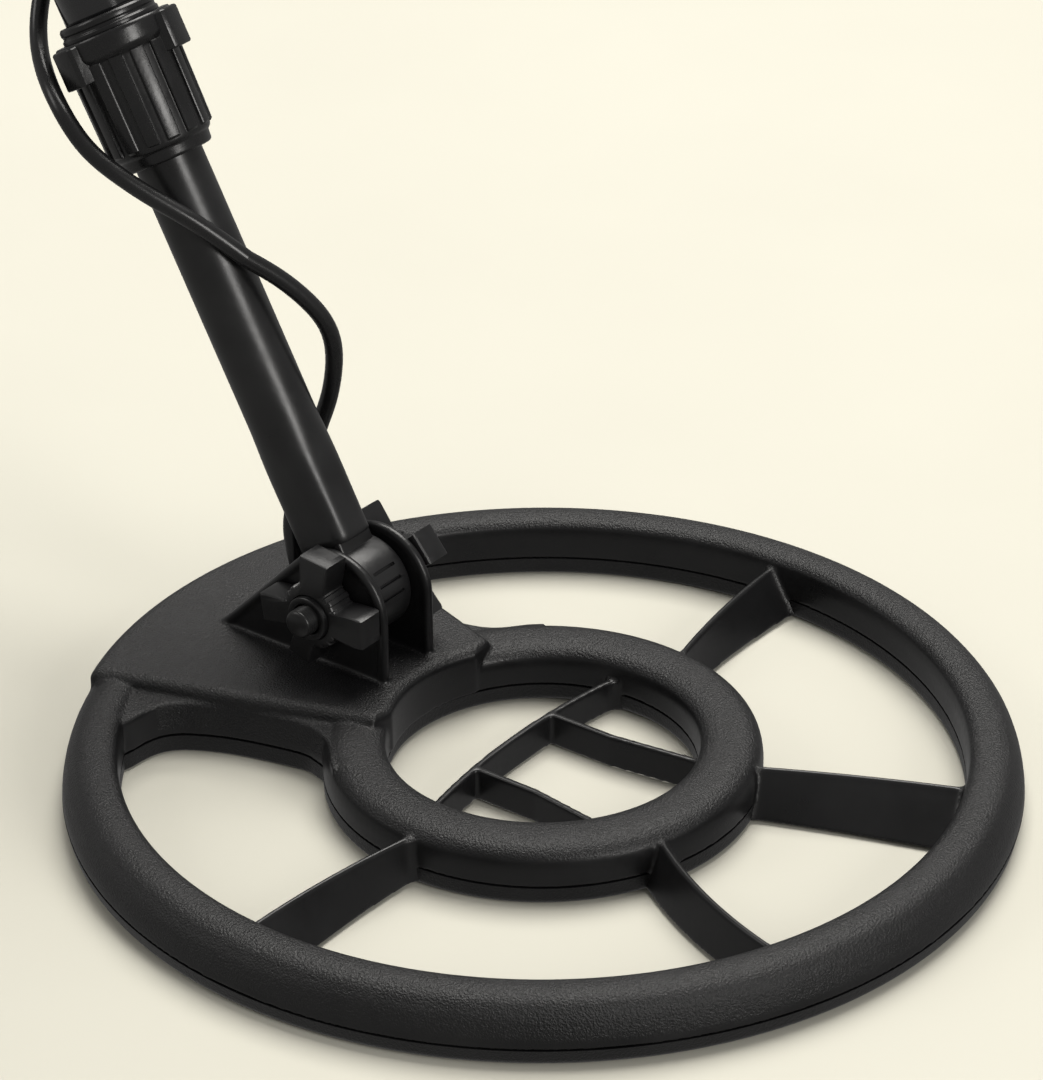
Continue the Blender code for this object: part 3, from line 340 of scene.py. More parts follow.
def ranged(t, x, a, b, c, d):
    n = t.nodes.new("ShaderNodeMapRange")
    n.inputs["From Min"].default_value, n.inputs["From Max"].default_value = a, b
    n.inputs["To Min"].default_value, n.inputs["To Max"].default_value = c, d
    t.links.new(x, n.inputs["Value"])
    return n.outputs["Result"]


def mathn(t, op, a, b):
    n = t.nodes.new("ShaderNodeMath")
    n.operation = op
    for i, v in enumerate((a, b)):
        if isinstance(v, (int, float)):
            n.inputs[i].default_value = v
        else:
            t.links.new(v, n.inputs[i])
    return n.outputs[0]


def mixc(t, fac, a, b):
    n = t.nodes.new("ShaderNodeMix")
    n.data_type = "RGBA"
    for sock, v in (("A", a), ("B", b)):
        s_ = [x for x in n.inputs if x.name == sock and x.type == "RGBA"][0]
        if isinstance(v, (tuple, list)):
            s_.default_value = (*v, 1)
        else:
            t.links.new(v, s_)
    f = [x for x in n.inputs if x.name == "Factor" and x.type == "VALUE"][0]
    if isinstance(fac, (int, float)):
        f.default_value = fac
    else:
        t.links.new(fac, f)
    return [x for x in n.outputs if x.type == "RGBA"][0]


def edge_wear(t, radius=0.0006):
    """1 on convex edges, 0 on flats: where a bevelled normal leaves the true one."""
    bev = t.nodes.new("ShaderNodeBevel")
    bev.samples = 4
    bev.inputs["Radius"].default_value = radius
    geo = t.nodes.new("ShaderNodeNewGeometry")
    dot = t.nodes.new("ShaderNodeVectorMath")
    dot.operation = "DOT_PRODUCT"
    t.links.new(bev.outputs["Normal"], dot.inputs[0])
    t.links.new(geo.outputs["Normal"], dot.inputs[1])
    return ranged(t, dot.outputs["Value"], 0.97, 0.80, 0.0, 1.0)


def plastic(name, base, rough, grain=0.0, scale=1800.0, dist=0.00012, vary=0.25, rvar=0.08, spec=0.5, wear=0.0, mask=None, smooth_rough=None, coat=0.0, patch=60.0):
    """Moulded plastic: colour and gloss vary in soft patches, with a fine grain in the bump. mask: an attribute that says where the grain is."""
    m, t, b = nt(name)
    big = noise_of(t, patch, 3)
    dark = tuple(c * (1 - vary) for c in base)
    light = tuple(c * (1 + vary) for c in base)
    col = mixc(t, ranged(t, big, 0.3, 0.7, 0, 1), dark, light)
    fine = noise_of(t, scale * 0.35, 2)
    r = mathn(t, "ADD", ranged(t, big, 0.3, 0.7, rough - rvar / 2, rough + rvar / 2), ranged(t, fine, 0.3, 0.7, -rvar / 3, rvar / 3))
    g = noise_of(t, scale, 2.5, 0.6)
    vor = t.nodes.new("ShaderNodeTexVoronoi")
    vor.feature = "SMOOTH_F1"
    vor.inputs["Scale"].default_value = scale * 0.62
    vor.inputs["Smoothness"].default_value = 0.6
    t.links.new(t.nodes.new("ShaderNodeTexCoord").outputs["Object"], vor.inputs["Vector"])
    h = mathn(t, "ADD", g, mathn(t, "MULTIPLY", vor.outputs["Distance"], 0.55))
    soft = noise_of(t, 210.0, 2)
    bump = t.nodes.new("ShaderNodeBump")
    bump.inputs["Distance"].default_value = dist
    t.links.new(h, bump.inputs["Height"])
    if mask:
        at = t.nodes.new("ShaderNodeAttribute")
        at.attribute_name = mask
        t.links.new(mathn(t, "MULTIPLY", at.outputs["Fac"], grain), bump.inputs["Strength"])
        if smooth_rough is not None:
            mix = t.nodes.new("ShaderNodeMix")
            mix.data_type = "FLOAT"
            t.links.new(at.outputs["Fac"], mix.inputs[0])
            t.links.new(mathn(t, "ADD", ranged(t, big, 0.3, 0.7, smooth_rough - 0.04, smooth_rough + 0.04), ranged(t, fine, 0.3, 0.7, -0.03, 0.03)), mix.inputs[2])
            t.links.new(r, mix.inputs[3])
            r = mix.outputs[0]
    else:
        bump.inputs["Strength"].default_value = grain
    b2 = t.nodes.new("ShaderNodeBump")
    b2.inputs["Distance"].default_value = 0.00025
    b2.inputs["Strength"].default_value = 0.12
    t.links.new(soft, b2.inputs["Height"])
    t.links.new(bump.outputs["Normal"], b2.inputs["Normal"])
    t.links.new(b2.outputs["Normal"], b.inputs["Normal"])
    if wear:
        w = mathn(t, "MULTIPLY", edge_wear(t), mathn(t, "MULTIPLY", ranged(t, noise_of(t, 400.0, 3), 0.35, 0.65, 0.3, 1.0), wear))
        col = mixc(t, w, col, tuple(min(1, c * 3.5 + 0.03) for c in base))
        r = mathn(t, "ADD", r, mathn(t, "MULTIPLY", w, -0.08))
    t.links.new(col, b.inputs["Base Color"])
    t.links.new(r, b.inputs["Roughness"])
    b.inputs["Specular IOR Level"].default_value = spec
    b.inputs["Coat Weight"].default_value = coat
    b.inputs["Coat Roughness"].default_value = 0.12
    return m


def metal(name, base, rough, brush=(1, 1, 30), wear=0.2):
    m, t, b = nt(name)
    n = noise_of(t, 300.0, 4, 0.6, stretch=brush)
    big = noise_of(t, 90.0, 3)
    t.links.new(mixc(t, ranged(t, big, 0.3, 0.7, 0, 1), tuple(c * 0.85 for c in base), tuple(min(1, c * 1.1) for c in base)), b.inputs["Base Color"])
    t.links.new(mathn(t, "ADD", ranged(t, n, 0.3, 0.7, rough - 0.07, rough + 0.07), ranged(t, big, 0.3, 0.7, -0.04, 0.04)), b.inputs["Roughness"])
    bump = t.nodes.new("ShaderNodeBump")
    bump.inputs["Distance"].default_value = 0.00004
    bump.inputs["Strength"].default_value = 0.35
    t.links.new(n, bump.inputs["Height"])
    t.links.new(bump.outputs["Normal"], b.inputs["Normal"])
    b.inputs["Metallic"].default_value = 1.0
    return m


def fabric(name, base, scale=1500.0, rough=0.85):
    m, t, b = nt(name)
    tc = t.nodes.new("ShaderNodeTexCoord").outputs["Object"]
    waves = []
    for rot in ((0, 0, 0.5), (0.6, 0.4, -1.07)):
        mp = t.nodes.new("ShaderNodeMapping")
        mp.inputs["Rotation"].default_value = rot
        t.links.new(tc, mp.inputs["Vector"])
        w = t.nodes.new("ShaderNodeTexWave")
        w.wave_type = "BANDS"
        w.inputs["Scale"].default_value = scale * 0.35
        w.inputs["Distortion"].default_value = 0.6
        w.inputs["Detail"].default_value = 1.0
        t.links.new(mp.outputs["Vector"], w.inputs["Vector"])
        waves.append(w.outputs["Fac"])
    h = mathn(t, "MAXIMUM", waves[0], waves[1])
    fuzz = noise_of(t, scale * 2, 3)
    h = mathn(t, "ADD", h, mathn(t, "MULTIPLY", fuzz, 0.5))
    t.links.new(mixc(t, ranged(t, h, 0.3, 1.3, 0, 1), tuple(c * 0.5 for c in base), tuple(c * 1.6 for c in base)), b.inputs["Base Color"])
    bump = t.nodes.new("ShaderNodeBump")
    bump.inputs["Distance"].default_value = 0.0003
    bump.inputs["Strength"].default_value = 0.8
    t.links.new(h, bump.inputs["Height"])
    t.links.new(bump.outputs["Normal"], b.inputs["Normal"])
    t.links.new(ranged(t, fuzz, 0.3, 0.7, rough - 0.08, rough + 0.08), b.inputs["Roughness"])
    b.inputs["Sheen Weight"].default_value = 0.35
    b.inputs["Sheen Roughness"].default_value = 0.5
    return m


def foam_mat(name, base):
    m, t, b = nt(name)
    vor = t.nodes.new("ShaderNodeTexVoronoi")
    vor.inputs["Scale"].default_value = 900.0
    t.links.new(t.nodes.new("ShaderNodeTexCoord").outputs["Object"], vor.inputs["Vector"])
    n = noise_of(t, 1400.0, 4, 0.7)
    h = mathn(t, "ADD", vor.outputs["Distance"], mathn(t, "MULTIPLY", n, 0.6))
    big = noise_of(t, 70.0, 3)
    t.links.new(mixc(t, ranged(t, big, 0.3, 0.7, 0, 1), tuple(c * 0.75 for c in base), tuple(c * 1.3 for c in base)), b.inputs["Base Color"])
    bump = t.nodes.new("ShaderNodeBump")
    bump.inputs["Distance"].default_value = 0.0004
    bump.inputs["Strength"].default_value = 0.7
    t.links.new(h, bump.inputs["Height"])
    t.links.new(bump.outputs["Normal"], b.inputs["Normal"])
    t.links.new(ranged(t, n, 0.3, 0.7, 0.78, 0.95), b.inputs["Roughness"])
    b.inputs["Sheen Weight"].default_value = 0.25
    return m


TEX = plastic("coil_plastic", (0.0065, 0.0065, 0.007), 0.40, grain=1.0, scale=2300.0, dist=0.00030, mask="grain", smooth_rough=0.33, wear=0.10, spec=0.42)
SATIN = plastic("satin_plastic", (0.0065, 0.0065, 0.007), 0.34, grain=0.18, scale=1600.0, dist=0.00006, wear=0.15)
NUTP = plastic("filled_plastic", (0.007, 0.007, 0.0075), 0.27, grain=0.25, scale=1300.0, dist=0.00008, wear=0.22)
RODP = plastic("rod_plastic", (0.0085, 0.0085, 0.009), 0.32, grain=0.22, scale=900.0, dist=0.00006, wear=0.08, vary=0.35)
TUBEM = plastic("tube_gloss", (0.006, 0.006, 0.007), 0.12, grain=0.04, scale=700.0, dist=0.00004, wear=0.05, spec=0.6, coat=0.6)
CASE = plastic("case_plastic", (0.016, 0.016, 0.0175), 0.5, grain=0.8, scale=1700.0, dist=0.00014, wear=0.12)
RUBBER = plastic("rubber", (0.013, 0.013, 0.013), 0.7, grain=0.35, scale=1200.0, dist=0.00008, spec=0.3)
BUTTON = plastic("button_rubber", (0.05, 0.052, 0.055), 0.62, grain=0.35, scale=1500.0, dist=0.00006, spec=0.35)
BUTTON_R = plastic("button_rubber_red", (0.32, 0.02, 0.015), 0.55, grain=0.35, scale=1500.0, dist=0.00006, spec=0.35)
JACKET = plastic("cable_jacket", (0.008, 0.008, 0.0085), 0.27, grain=0.15, scale=900.0, dist=0.00006, vary=0.2, spec=0.5)
FOAM = foam_mat("grip_foam", (0.016, 0.016, 0.017))
WEB = fabric("webbing", (0.018, 0.018, 0.019))
STEEL = metal("zinc_steel", (0.55, 0.55, 0.56), 0.3)
COPPER = metal("copper_wire", (0.7, 0.28, 0.12), 0.3)
BATT = metal("battery_jacket", (0.32, 0.33, 0.36), 0.28)
PCB = plastic("solder_mask", (0.01, 0.10, 0.035), 0.35, grain=0.3, scale=900.0, dist=0.00008)
SPK = plastic("speaker_paper", (0.03, 0.03, 0.03), 0.8, grain=0.6, scale=900.0, dist=0.0001)
FABRIC_PAD = fabric("pad_cover", (0.020, 0.020, 0.0215), 1700.0, 0.9)
THREAD = fabric("thread", (0.05, 0.05, 0.052), 2500.0, 0.8)
SEGM = plastic("display_segment", (0.012, 0.014, 0.016), 0.5, grain=0.1, scale=900.0, dist=0.00002)
MARK = plastic("key_mark", (0.55, 0.56, 0.57), 0.6, grain=0.2, scale=1500.0, dist=0.00004)
LCD, t_, b_ = nt("display_cell")
n_ = noise_of(t_, 60.0, 3)
ck = t_.nodes.new("ShaderNodeTexVoronoi")
ck.distance = "CHEBYCHEV"
ck.inputs["Scale"].default_value = 2500.0
ck.inputs["Randomness"].default_value = 0.0
t_.links.new(t_.nodes.new("ShaderNodeTexCoord").outputs["Object"], ck.inputs["Vector"])
t_.links.new(mixc(t_, ranged(t_, mathn(t_, "ADD", n_, mathn(t_, "MULTIPLY", ck.outputs["Distance"], 0.2)), 0.3, 0.9, 0, 1), (0.24, 0.28, 0.22), (0.30, 0.34, 0.27)), b_.inputs["Base Color"])
t_.links.new(ranged(t_, n_, 0.3, 0.7, 0.22, 0.34), b_.inputs["Roughness"])
# clear window: a thin coat that reflects the room, faint haze and hairline scratches
WINDOW = bpy.data.materials.new("window")
WINDOW.use_nodes = True
t_ = WINDOW.node_tree
t_.nodes.clear()
out_ = t_.nodes.new("ShaderNodeOutputMaterial")
gl_, tr_, mx_, lw_ = (t_.nodes.new(k) for k in ("ShaderNodeBsdfGlossy", "ShaderNodeBsdfTransparent", "ShaderNodeMixShader", "ShaderNodeFresnel"))
lw_.inputs["IOR"].default_value = 1.5
tr_.inputs["Color"].default_value = (0.86, 0.88, 0.87, 1)
n_ = noise_of(t_, 500.0, 4, stretch=(1, 14, 1))
t_.links.new(ranged(t_, n_, 0.35, 0.65, 0.04, 0.12), gl_.inputs["Roughness"])
bp_ = t_.nodes.new("ShaderNodeBump")
bp_.inputs["Distance"].default_value = 0.00001
bp_.inputs["Strength"].default_value = 0.3
t_.links.new(n_, bp_.inputs["Height"])
t_.links.new(bp_.outputs["Normal"], gl_.inputs["Normal"])
t_.links.new(mathn(t_, "ADD", lw_.outputs[0], ranged(t_, n_, 0.4, 0.7, 0.0, 0.03)), mx_.inputs[0])
t_.links.new(tr_.outputs[0], mx_.inputs[1])
t_.links.new(gl_.outputs[0], mx_.inputs[2])
t_.links.new(mx_.outputs[0], out_.inputs[0])
print("materials done")

# ================================================================ search coil
SEAM = 5.2
OUT_TOP = rounded([(111.65, 5.36), (111.65, 12.6), (112.15, 15.4), (113.9, 16.85), (117.4, 17.4), (120.2, 17.15), (122.6, 16.1), (125.1, 12.9), (126.3, 9.4), (126.95, 5.36)], 1.3, 4, keep=(0, 9))
IN_TOP = rounded([(41.2, 5.36), (41.2, 11.6), (41.75, 13.9), (43.3, 15.4), (46.2, 16.35), (50.6, 16.6), (53.6, 16.35), (56.2, 15.2), (57.7, 13.0), (58.3, 10.0), (58.3, 5.36)], 1.2, 4, keep=(0, 10))


def wall_y(x, extra=0.0):
    return -(32.6 + 0.331 * (-57.0 - x)) + extra


def platform_outline(inset=0.0):
    r_rim, r_hole = 125.0 - inset, 40.5 + inset
    x = -100.0
    for _ in range(40):
        y = wall_y(x, inset * 1.05)
        x = -math.sqrt(max(r_rim ** 2 - y * y, 1))
    y = wall_y(x, inset * 1.05)
    a_rim = math.degrees(math.atan2(y, x)) % 360
    x0 = -36.6 - inset * 0.4
    rim = arc(0, 0, r_rim, a_rim, 360 - a_rim, 60)
    hole = arc(0, 0, r_hole, 180 - 27, 180 + 27, 36)
    return [(x0, wall_y(x0, inset * 1.05))] + rim + [(x0, -wall_y(x0, inset * 1.05))] + hole


def web_outline(inset=0.0):
    half = [(-33.6, -46.6), (-37.4, -43.2), (-41.7, -38.6 + inset), (-45.6, -35.8 + inset), (-49.6, -34.4 + inset), (-54.4, -33.7 + inset), (-63.9, -35.6 + inset), (-75.9, -39.2 + inset), (-84.8, -43.5 + inset),
            (-88.6, -46.4 + inset), (-90.9, -49.6 + inset * .6), (-92.1 - inset, -54.0), (-92.6 - inset, -60.0), (-93.6 - inset, -64.0)]
    sm = [(p.x, p.y) for p in spline([(x, y, 0) for x, y in half], 1.2)]
    outer = arc(0, 0, 115.0, 180 + 34, 180 - 34, 50)
    inner = arc(0, 0, 50.0, 180 - 50, 180 + 50, 40)
    return sm + outer + [(x, -y) for x, y in reversed(sm)] + inner


def shoulder_plate(outline, z0, z1, r, n=7):
    """A plate whose top edge is a quarter round: stacked insets of one outline, lofted."""
    rings = []
    for ins, z in [(0.0, z0)] + [(r * (1 - math.cos(math.radians(90 * k / n))), z1 - r + r * math.sin(math.radians(90 * k / n))) for k in range(n + 1)]:
        rings.append([(x, y, z) for x, y in outline(ins)])
    return loft(rings)


def rib_outline(points, t, flare=2.6, flare_len=5.0, both_ends=True):
    """A thin rib along a polyline that widens where it meets the rings."""
    pts = [Vector((x, y)) for x, y in points]
    total = sum((b - a).length for a, b in zip(pts, pts[1:]))
    left, right, run = [], [], 0.0
    for k, c in enumerate(pts):
        if k:
            run += (c - pts[k - 1]).length
        a, b = pts[max(k - 1, 0)], pts[min(k + 1, len(pts) - 1)]
        d = (b - a).normalized()
        nrm = Vector((-d.y, d.x))
        e = min(run, total - run) if both_ends else total - run
        w = t / 2 + flare * max(0.0, 1 - e / flare_len) ** 2.2
        left.append(tuple(c + nrm * w))
        right.append(tuple(c - nrm * w))
    return left + right[::-1]


def bowed(a, b, sag, n=40):
    a, b = Vector(a), Vector(b)
    d = b - a
    nrm = Vector((-d.y, d.x)).normalized()
    return [tuple(a + d * (i / n) + nrm * sag * 4 * (i / n) * (1 - i / n)) for i in range(n + 1)]


def dense(points, step=1.0):
    out = []
    for a, b in zip(points, points[1:]):
        a, b = Vector(a), Vector(b)
        k = max(1, round((b - a).length / step))
        out += [tuple(a + (b - a) * j / k) for j in range(k)]
    return out + [tuple(points[-1])]


SEAM_Z0 = 5.36
coil_parts = [turned(OUT_TOP, 288), turned(IN_TOP, 144),
              shoulder_plate(platform_outline, SEAM_Z0, 19.2, 2.9),
              shoulder_plate(web_outline, SEAM_Z0, 15.3, 1.2, 4)]
def spoke(points, t, foot_a, foot_b, z0, z1, flare=2.0, flare_len=4.0):
    """A spoke with a narrow rounded top edge that spreads towards its foot."""
    pts = [Vector((x, y)) for x, y in points]
    total = sum((b - a).length for a, b in zip(pts, pts[1:]))
    secs, run = [], 0.0
    for k, c in enumerate(pts):
        if k:
            run += (c - pts[k - 1]).length
        u = run / total
        a, b = pts[max(k - 1, 0)], pts[min(k + 1, len(pts) - 1)]
        d = (b - a).normalized()
        nrm = Vector((-d.y, d.x))
        ex = flare * max(0.0, 1 - min(run, total - run) / flare_len) ** 2.2
        wl = t / 2 + foot_a[0] + (foot_a[1] - foot_a[0]) * u + ex
        wr = t / 2 + foot_b[0] + (foot_b[1] - foot_b[0]) * u + ex
        h = t / 2 + ex
        sec = [(c + nrm * wl, z0)]
        for j in range(7):
            q = math.radians(30 * j)
            sec.append((c + nrm * (h * math.cos(q)), z1 - t / 2 + t / 2 * math.sin(q)))
        sec.append((c - nrm * wr, z0))
        secs.append([(q.x, q.y, z) for q, z in sec])
    return loft(secs)


spoke_parts = []
for sgn in (-1, 1):
    sx = 4.0 if sgn > 0 else 0.0
    side = bowed((0.9 + sx, sgn * 56.4), (-6.2 + sx * 1.1, sgn * 113.2), sgn * 1.5)
    frnt = bowed((51.6, sgn * 20.4), (103.4, sgn * 44.8), sgn * (0.8 if sgn > 0 else 3.0))
    f_side, b_side, in_front, out_front = (0.6, 7.4), (0.6, 2.6), (4.9, 11.0), (3.9, 1.8)
    spoke_parts.append(spoke(side, 1.9, *((b_side, f_side) if sgn > 0 else (f_side, b_side)), 0.6, 13.6))
    spoke_parts.append(spoke(frnt, 1.9, *((out_front, in_front) if sgn > 0 else (in_front, out_front)), 0.6, 13.6))
cross = bowed((-6.2, -42.2), (-6.2, 42.2), 4.2)
spoke_parts.append(plate(rib_outline(cross, 1.9, 2.0, 4.0), 0.4, 9.6, top=0.35, segs=2))
for sgn in (-1, 1):
    leg = dense([(-10.4, sgn * 16.8), (10.2, sgn * 16.8), (39.0, sgn * 20.7)])
    spoke_parts.append(plate(rib_outline(leg, 1.9, 2.0, 4.0, both_ends=False), 0.4, 9.6, top=0.35, segs=2))

# ears: thin plate with a rounded bead along its edge
EAR_CX, EAR_CZ, EAR_R = -61.0, 37.6, 16.6
rear = Vector((-103.0, 18.6))
c_ = Vector((EAR_CX, EAR_CZ))
d_ = c_ - rear
tang = math.degrees(math.atan2(d_.y, d_.x)) + math.degrees(math.asin(EAR_R / d_.length))


def ear_outline(inset):
    r = EAR_R - inset
    top = arc(EAR_CX, EAR_CZ, r, 0, tang + 90, 48)
    dirn = Vector((math.cos(math.radians(tang)), math.sin(math.radians(tang))))
    back = Vector(top[-1]) - dirn * (Vector(top[-1]) - rear).length
    return [(EAR_CX + r, 15.0)] + top + [(back.x + inset * 0.2, back.y), (back.x + inset * 0.2, 15.0)]


M_SIDE = Matrix(((1, 0, 0, 0), (0, 0, -1, 0), (0, 1, 0, 0), (0, 0, 0, 1)))
ears = []
for s_ in (-1, 1):
    y0, y1 = (8.35, 10.7) if s_ > 0 else (-10.7, -8.35)
    o = dense(ear_outline(0.2) + [ear_outline(0.2)[0]], 1.0)[:-1]
    ears.append(plate(o, -y1, -y0, M_SIDE))
    path = ear_outline(1.35)[:-1]
    path = [(path[0][0], 17.0)] + path[1:-1] + [path[-1]]
    ears.append(sweep([(x, s_ * 9.65, z) for x, z in dense(path, 1.2)], 1.55, 14))

VOX = 0.5
coil_me = voxeled(joined(*coil_parts, *spoke_parts, *ears), VOX, smooth=5, factor=0.5)
n = len(coil_me.vertices)
co = np.empty(n * 3, np.float32)
coil_me.vertices.foreach_get("co", co)
co = co.reshape(-1, 3) * 1000
coil_me.shade_smooth()
nor = np.empty(n * 3, np.float32)
coil_me.vertex_normals.foreach_get("vector", nor)
nor = nor.reshape(-1, 3)
x, y, z = co.T
rad = np.hypot(x, y)
up = np.clip((nor[:, 2] - 0.30) / 0.35, 0, 1)
outside = np.clip((rad - 119.0) / 2.0, 0, 1) * np.clip((z - 6.5) / 2.0, 0, 1)
grain = np.maximum(up, outside * 0.9)
wall = (x < -38.5) & (x > -112) & (np.abs(np.abs(y) - (32.6 + 0.331 * (-57.0 - x))) < 6.5) & (z > 6.0) & (rad > 44) & (rad < 113)
grain = np.where(wall, np.maximum(grain, np.clip((z - 6.5) / 1.5, 0, 1)), grain)
thin = (z < 13.9) & (rad > 59.4) & (rad < 110.6) & ~wall
thin |= (rad < 40.4) & (z < 10.4)
ear = (z > 19.75) & (np.abs(y) < 11.8) & (np.abs(y) > 7.4) & (x > -106) & (x < -43.5)
grain = np.where(thin | ear, 0.0, grain)
attr = coil_me.attributes.new("grain", "FLOAT", "POINT")
attr.data.foreach_set("value", grain.astype(np.float32))
coil_me.transform(M_COIL)
coil = put("coil_shell", coil_me, "coil", TEX, ["coil_top_shell"], smooth=0)
coil_me.shade_smooth()

# base cover
b_out = turned(rounded([(126.9, 5.04), (126.2, 1.6), (125.2, 0.35), (123.6, 0.0), (113.2, 0.0), (112.0, 0.5), (111.65, 1.6), (111.65, 5.04)], 0.6, 3, keep=(0, 7)), 288)
b_in = turned(rounded([(58.3, 5.04), (58.2, 1.4), (57.4, 0.3), (56.4, 0.0), (43.2, 0.0), (42.0, 0.3), (41.3, 1.4), (41.2, 5.04)], 0.6, 3, keep=(0, 7)), 144)
b_web = plate(web_outline(0.0), 0.05, 5.0, bottom=0.8, segs=3)
base_me = boolean(b_out, [b_web, b_in], solver="MANIFOLD")
base_me.attributes.new("grain", "FLOAT", "POINT").data.foreach_set("value", np.full(len(base_me.vertices), 0.6, np.float32))
base_me.transform(M_COIL)
put("coil_cover", base_me, "coil", TEX, ["coil_base_cover"], smooth=35)
print("coil done", len(coil_me.vertices))

# ================================================================ knobs and pivot bolt
def knob(z0, h, lobes, seg=240, ridges=5):
    """A four-winged knob about Z: blunt wings with ridged finger hollows between them."""
    def radius(a):
        best = 9.0
        for phi, half, r in lobes:
            d = abs((math.degrees(a) - phi + 180) % 360 - 180)
            if d < half:
                k = d / half
                edge = r * math.cos(math.radians(min(d, half * 0.62))) ** -1 if k < 0.62 else r - (r - 9.2) * ((k - 0.62) / 0.38) ** 0.8
                best = max(best, min(edge, r * 1.04))
        if best <= 9.25:
            best = 9.0 + 0.42 * (1 if math.sin(math.degrees(a) / 90 * math.pi * 2 * ridges) > 0 else 0)
        return best
    rings = []
    prof = [(0.0, -1.2), (0.35, -0.35), (0.9, 0.0), (h * 0.5, 0.0), (h - 0.9, 0.0), (h - 0.35, -0.3), (h, -1.1)]
    for dz, ins in prof:
        ring = []
        for k in range(seg):
            a = 2 * math.pi * k / seg
            r = radius(a) + ins
            ring.append((r * math.cos(a), r * math.sin(a), z0 + dz))
        rings.append(ring)
    return loft(rings)


Y_OUT = R(90, "X")          # local Z runs to world -Y
lobes_near = [(-172 % 360, 22, 17.2), (84, 25, 17.4), (0, 24, 17.6), (-108 % 360, 22, 14.8)]
k_me = knob(11.4, 8.6, lobes_near)
k_me = boolean(k_me, [rod_mesh(6.6, 16.8, 24, 64, bev=0.0)], "DIFFERENCE")
collar = turned(rounded([(4.35, 15.0), (4.35, 21.4), (6.3, 21.4), (6.5, 15.0)], 0.5, 3), 64)
k_me = boolean(k_me, [collar])
k_me = boolean(k_me, [turned([(0, 5), (0, 30), (4.3, 30), (4.3, 5)], 48, closed=False)], "DIFFERENCE")
k_me.transform(M_PIV @ Y_OUT)
put("wing_knob", k_me, "wing_nut", SATIN, ["wing_nut"], smooth=32)

M_FAR = M_PIV @ R(-90, "X")  # local Z runs to world +Y, angles run from +X towards -Z
head = knob(11.4, 8.2, [(-39 % 360, 25, 17.4), (-129 % 360, 25, 17.2), (-219 % 360, 25, 17.4), (-309 % 360, 25, 17.2)])
thread = [(0, -25.4), (3.1, -25.4), (3.75, -25.0)]
for k in range(6):
    z_ = -24.8 + k * 0.8
    thread += [(3.95, z_ + 0.15), (3.95, z_ + 0.3), (3.6, z_ + 0.55)]
thread += [(3.95, -19.4), (3.95, 12.0), (0, 12.0)]
cap = turned(rounded([(0, 19.2), (0, 20.6), (5.8, 20.6), (6.9, 19.2)], 0.6, 3, closed=False), 64, closed=False)
bolt_me = boolean(head, [turned(thread, 64, closed=False), cap])
bolt_me.transform(M_FAR)
put("pivot_knob_bolt", bolt_me, "pivot_bolt", SATIN, ["pivot_bolt"], smooth=32)

# ================================================================ knuckle, washers, lower rod
KR, KY = 13.2, 7.3
k_prof = rounded([(0, KY), (KR, KY), (KR, -KY), (0, -KY)], 0.7, 4, closed=False)
kn = turned(k_prof[::-1], 160, R(90, "X"), closed=False)
stem = block(-7.4, 7.4, -6.6, 6.6, 4.0, 30.0, bev=1.0, segs=3)
kn = boolean(kn, [stem])
for k in range(3):
    kn = boolean(kn, [block(KR - 0.9, KR + 3, -4.4, 4.4, -0.45, 0.45, R(-14 + 17 * k, "Y"), bev=0.12, segs=1)], "DIFFERENCE")
for zz in (KY - 1.4, -KY - 5.1):
    kn = boolean(kn, [turned([(0, zz), (0, zz + 6.5), (9.3, zz + 6.5), (9.3, zz)], 64, R(90, "X"), closed=False)], "DIFFERENCE")
kn = bevelled(kn, 0.18, 2, 35)
kn.transform(M_SHAFT)
put("knuckle", kn, "lower_rod", RODP, ["rod_knuckle"], smooth=35)
for nm, s_ in (("near", -1), ("far", 1)):
    w = turned(rounded([(9.0, KY + 0.6), (9.0, KY - 1.1), (4.6, KY - 1.1), (4.6, KY + 0.6)], 0.35, 3), 64, R(-90 * s_, "X"))
    w.transform(M_SHAFT)
    put("washer_" + nm, w, "lower_rod", RUBBER, ["friction_washer_" + nm])


def rod_ring(s, n=96):
    """Section of the lower rod: round, pressed flatter towards its end at the yoke."""
    k = min(1, max(0, (s - 22.0) / 30.0))
    k = k * k * (3 - 2 * k)
    ry = 7.35 + (9.35 - 7.35) * k
    rx = 9.35
    e = 2.0 + 1.6 * (1 - k)
    out = []
    for i in range(n):
        a = 2 * math.pi * i / n
        c, q = math.cos(a), math.sin(a)
        out.append((rx * math.copysign(abs(c) ** (2 / e), c), ry * math.copysign(abs(q) ** (2 / e), q), s))
    return out


rings = [[(px * .965, py * .965, pz) for px, py, pz in rod_ring(13.95)], rod_ring(14.4)] + [rod_ring(s) for s in np.arange(16.0, 60.0, 2.0)] + [rod_ring(s) for s in (64, 80, 120, 180, 260, 340, 420, 484.6, 485.2)]
rings.append([(px * .965, py * .965, 485.8) for px, py, pz in rod_ring(485.8)])
rod_me = loft(rings)
rod_me = boolean(rod_me, [turned([(0, KY + 0.5), (KR + 0.35, KY + 0.5), (KR + 0.35, -KY - 0.5), (0, -KY - 0.5)][::-1], 96, R(90, "X"), closed=False)], "DIFFERENCE")
rod_me.transform(M_SHAFT)
put("rod", rod_me, "lower_rod", RODP, ["lower_rod"], smooth=40)


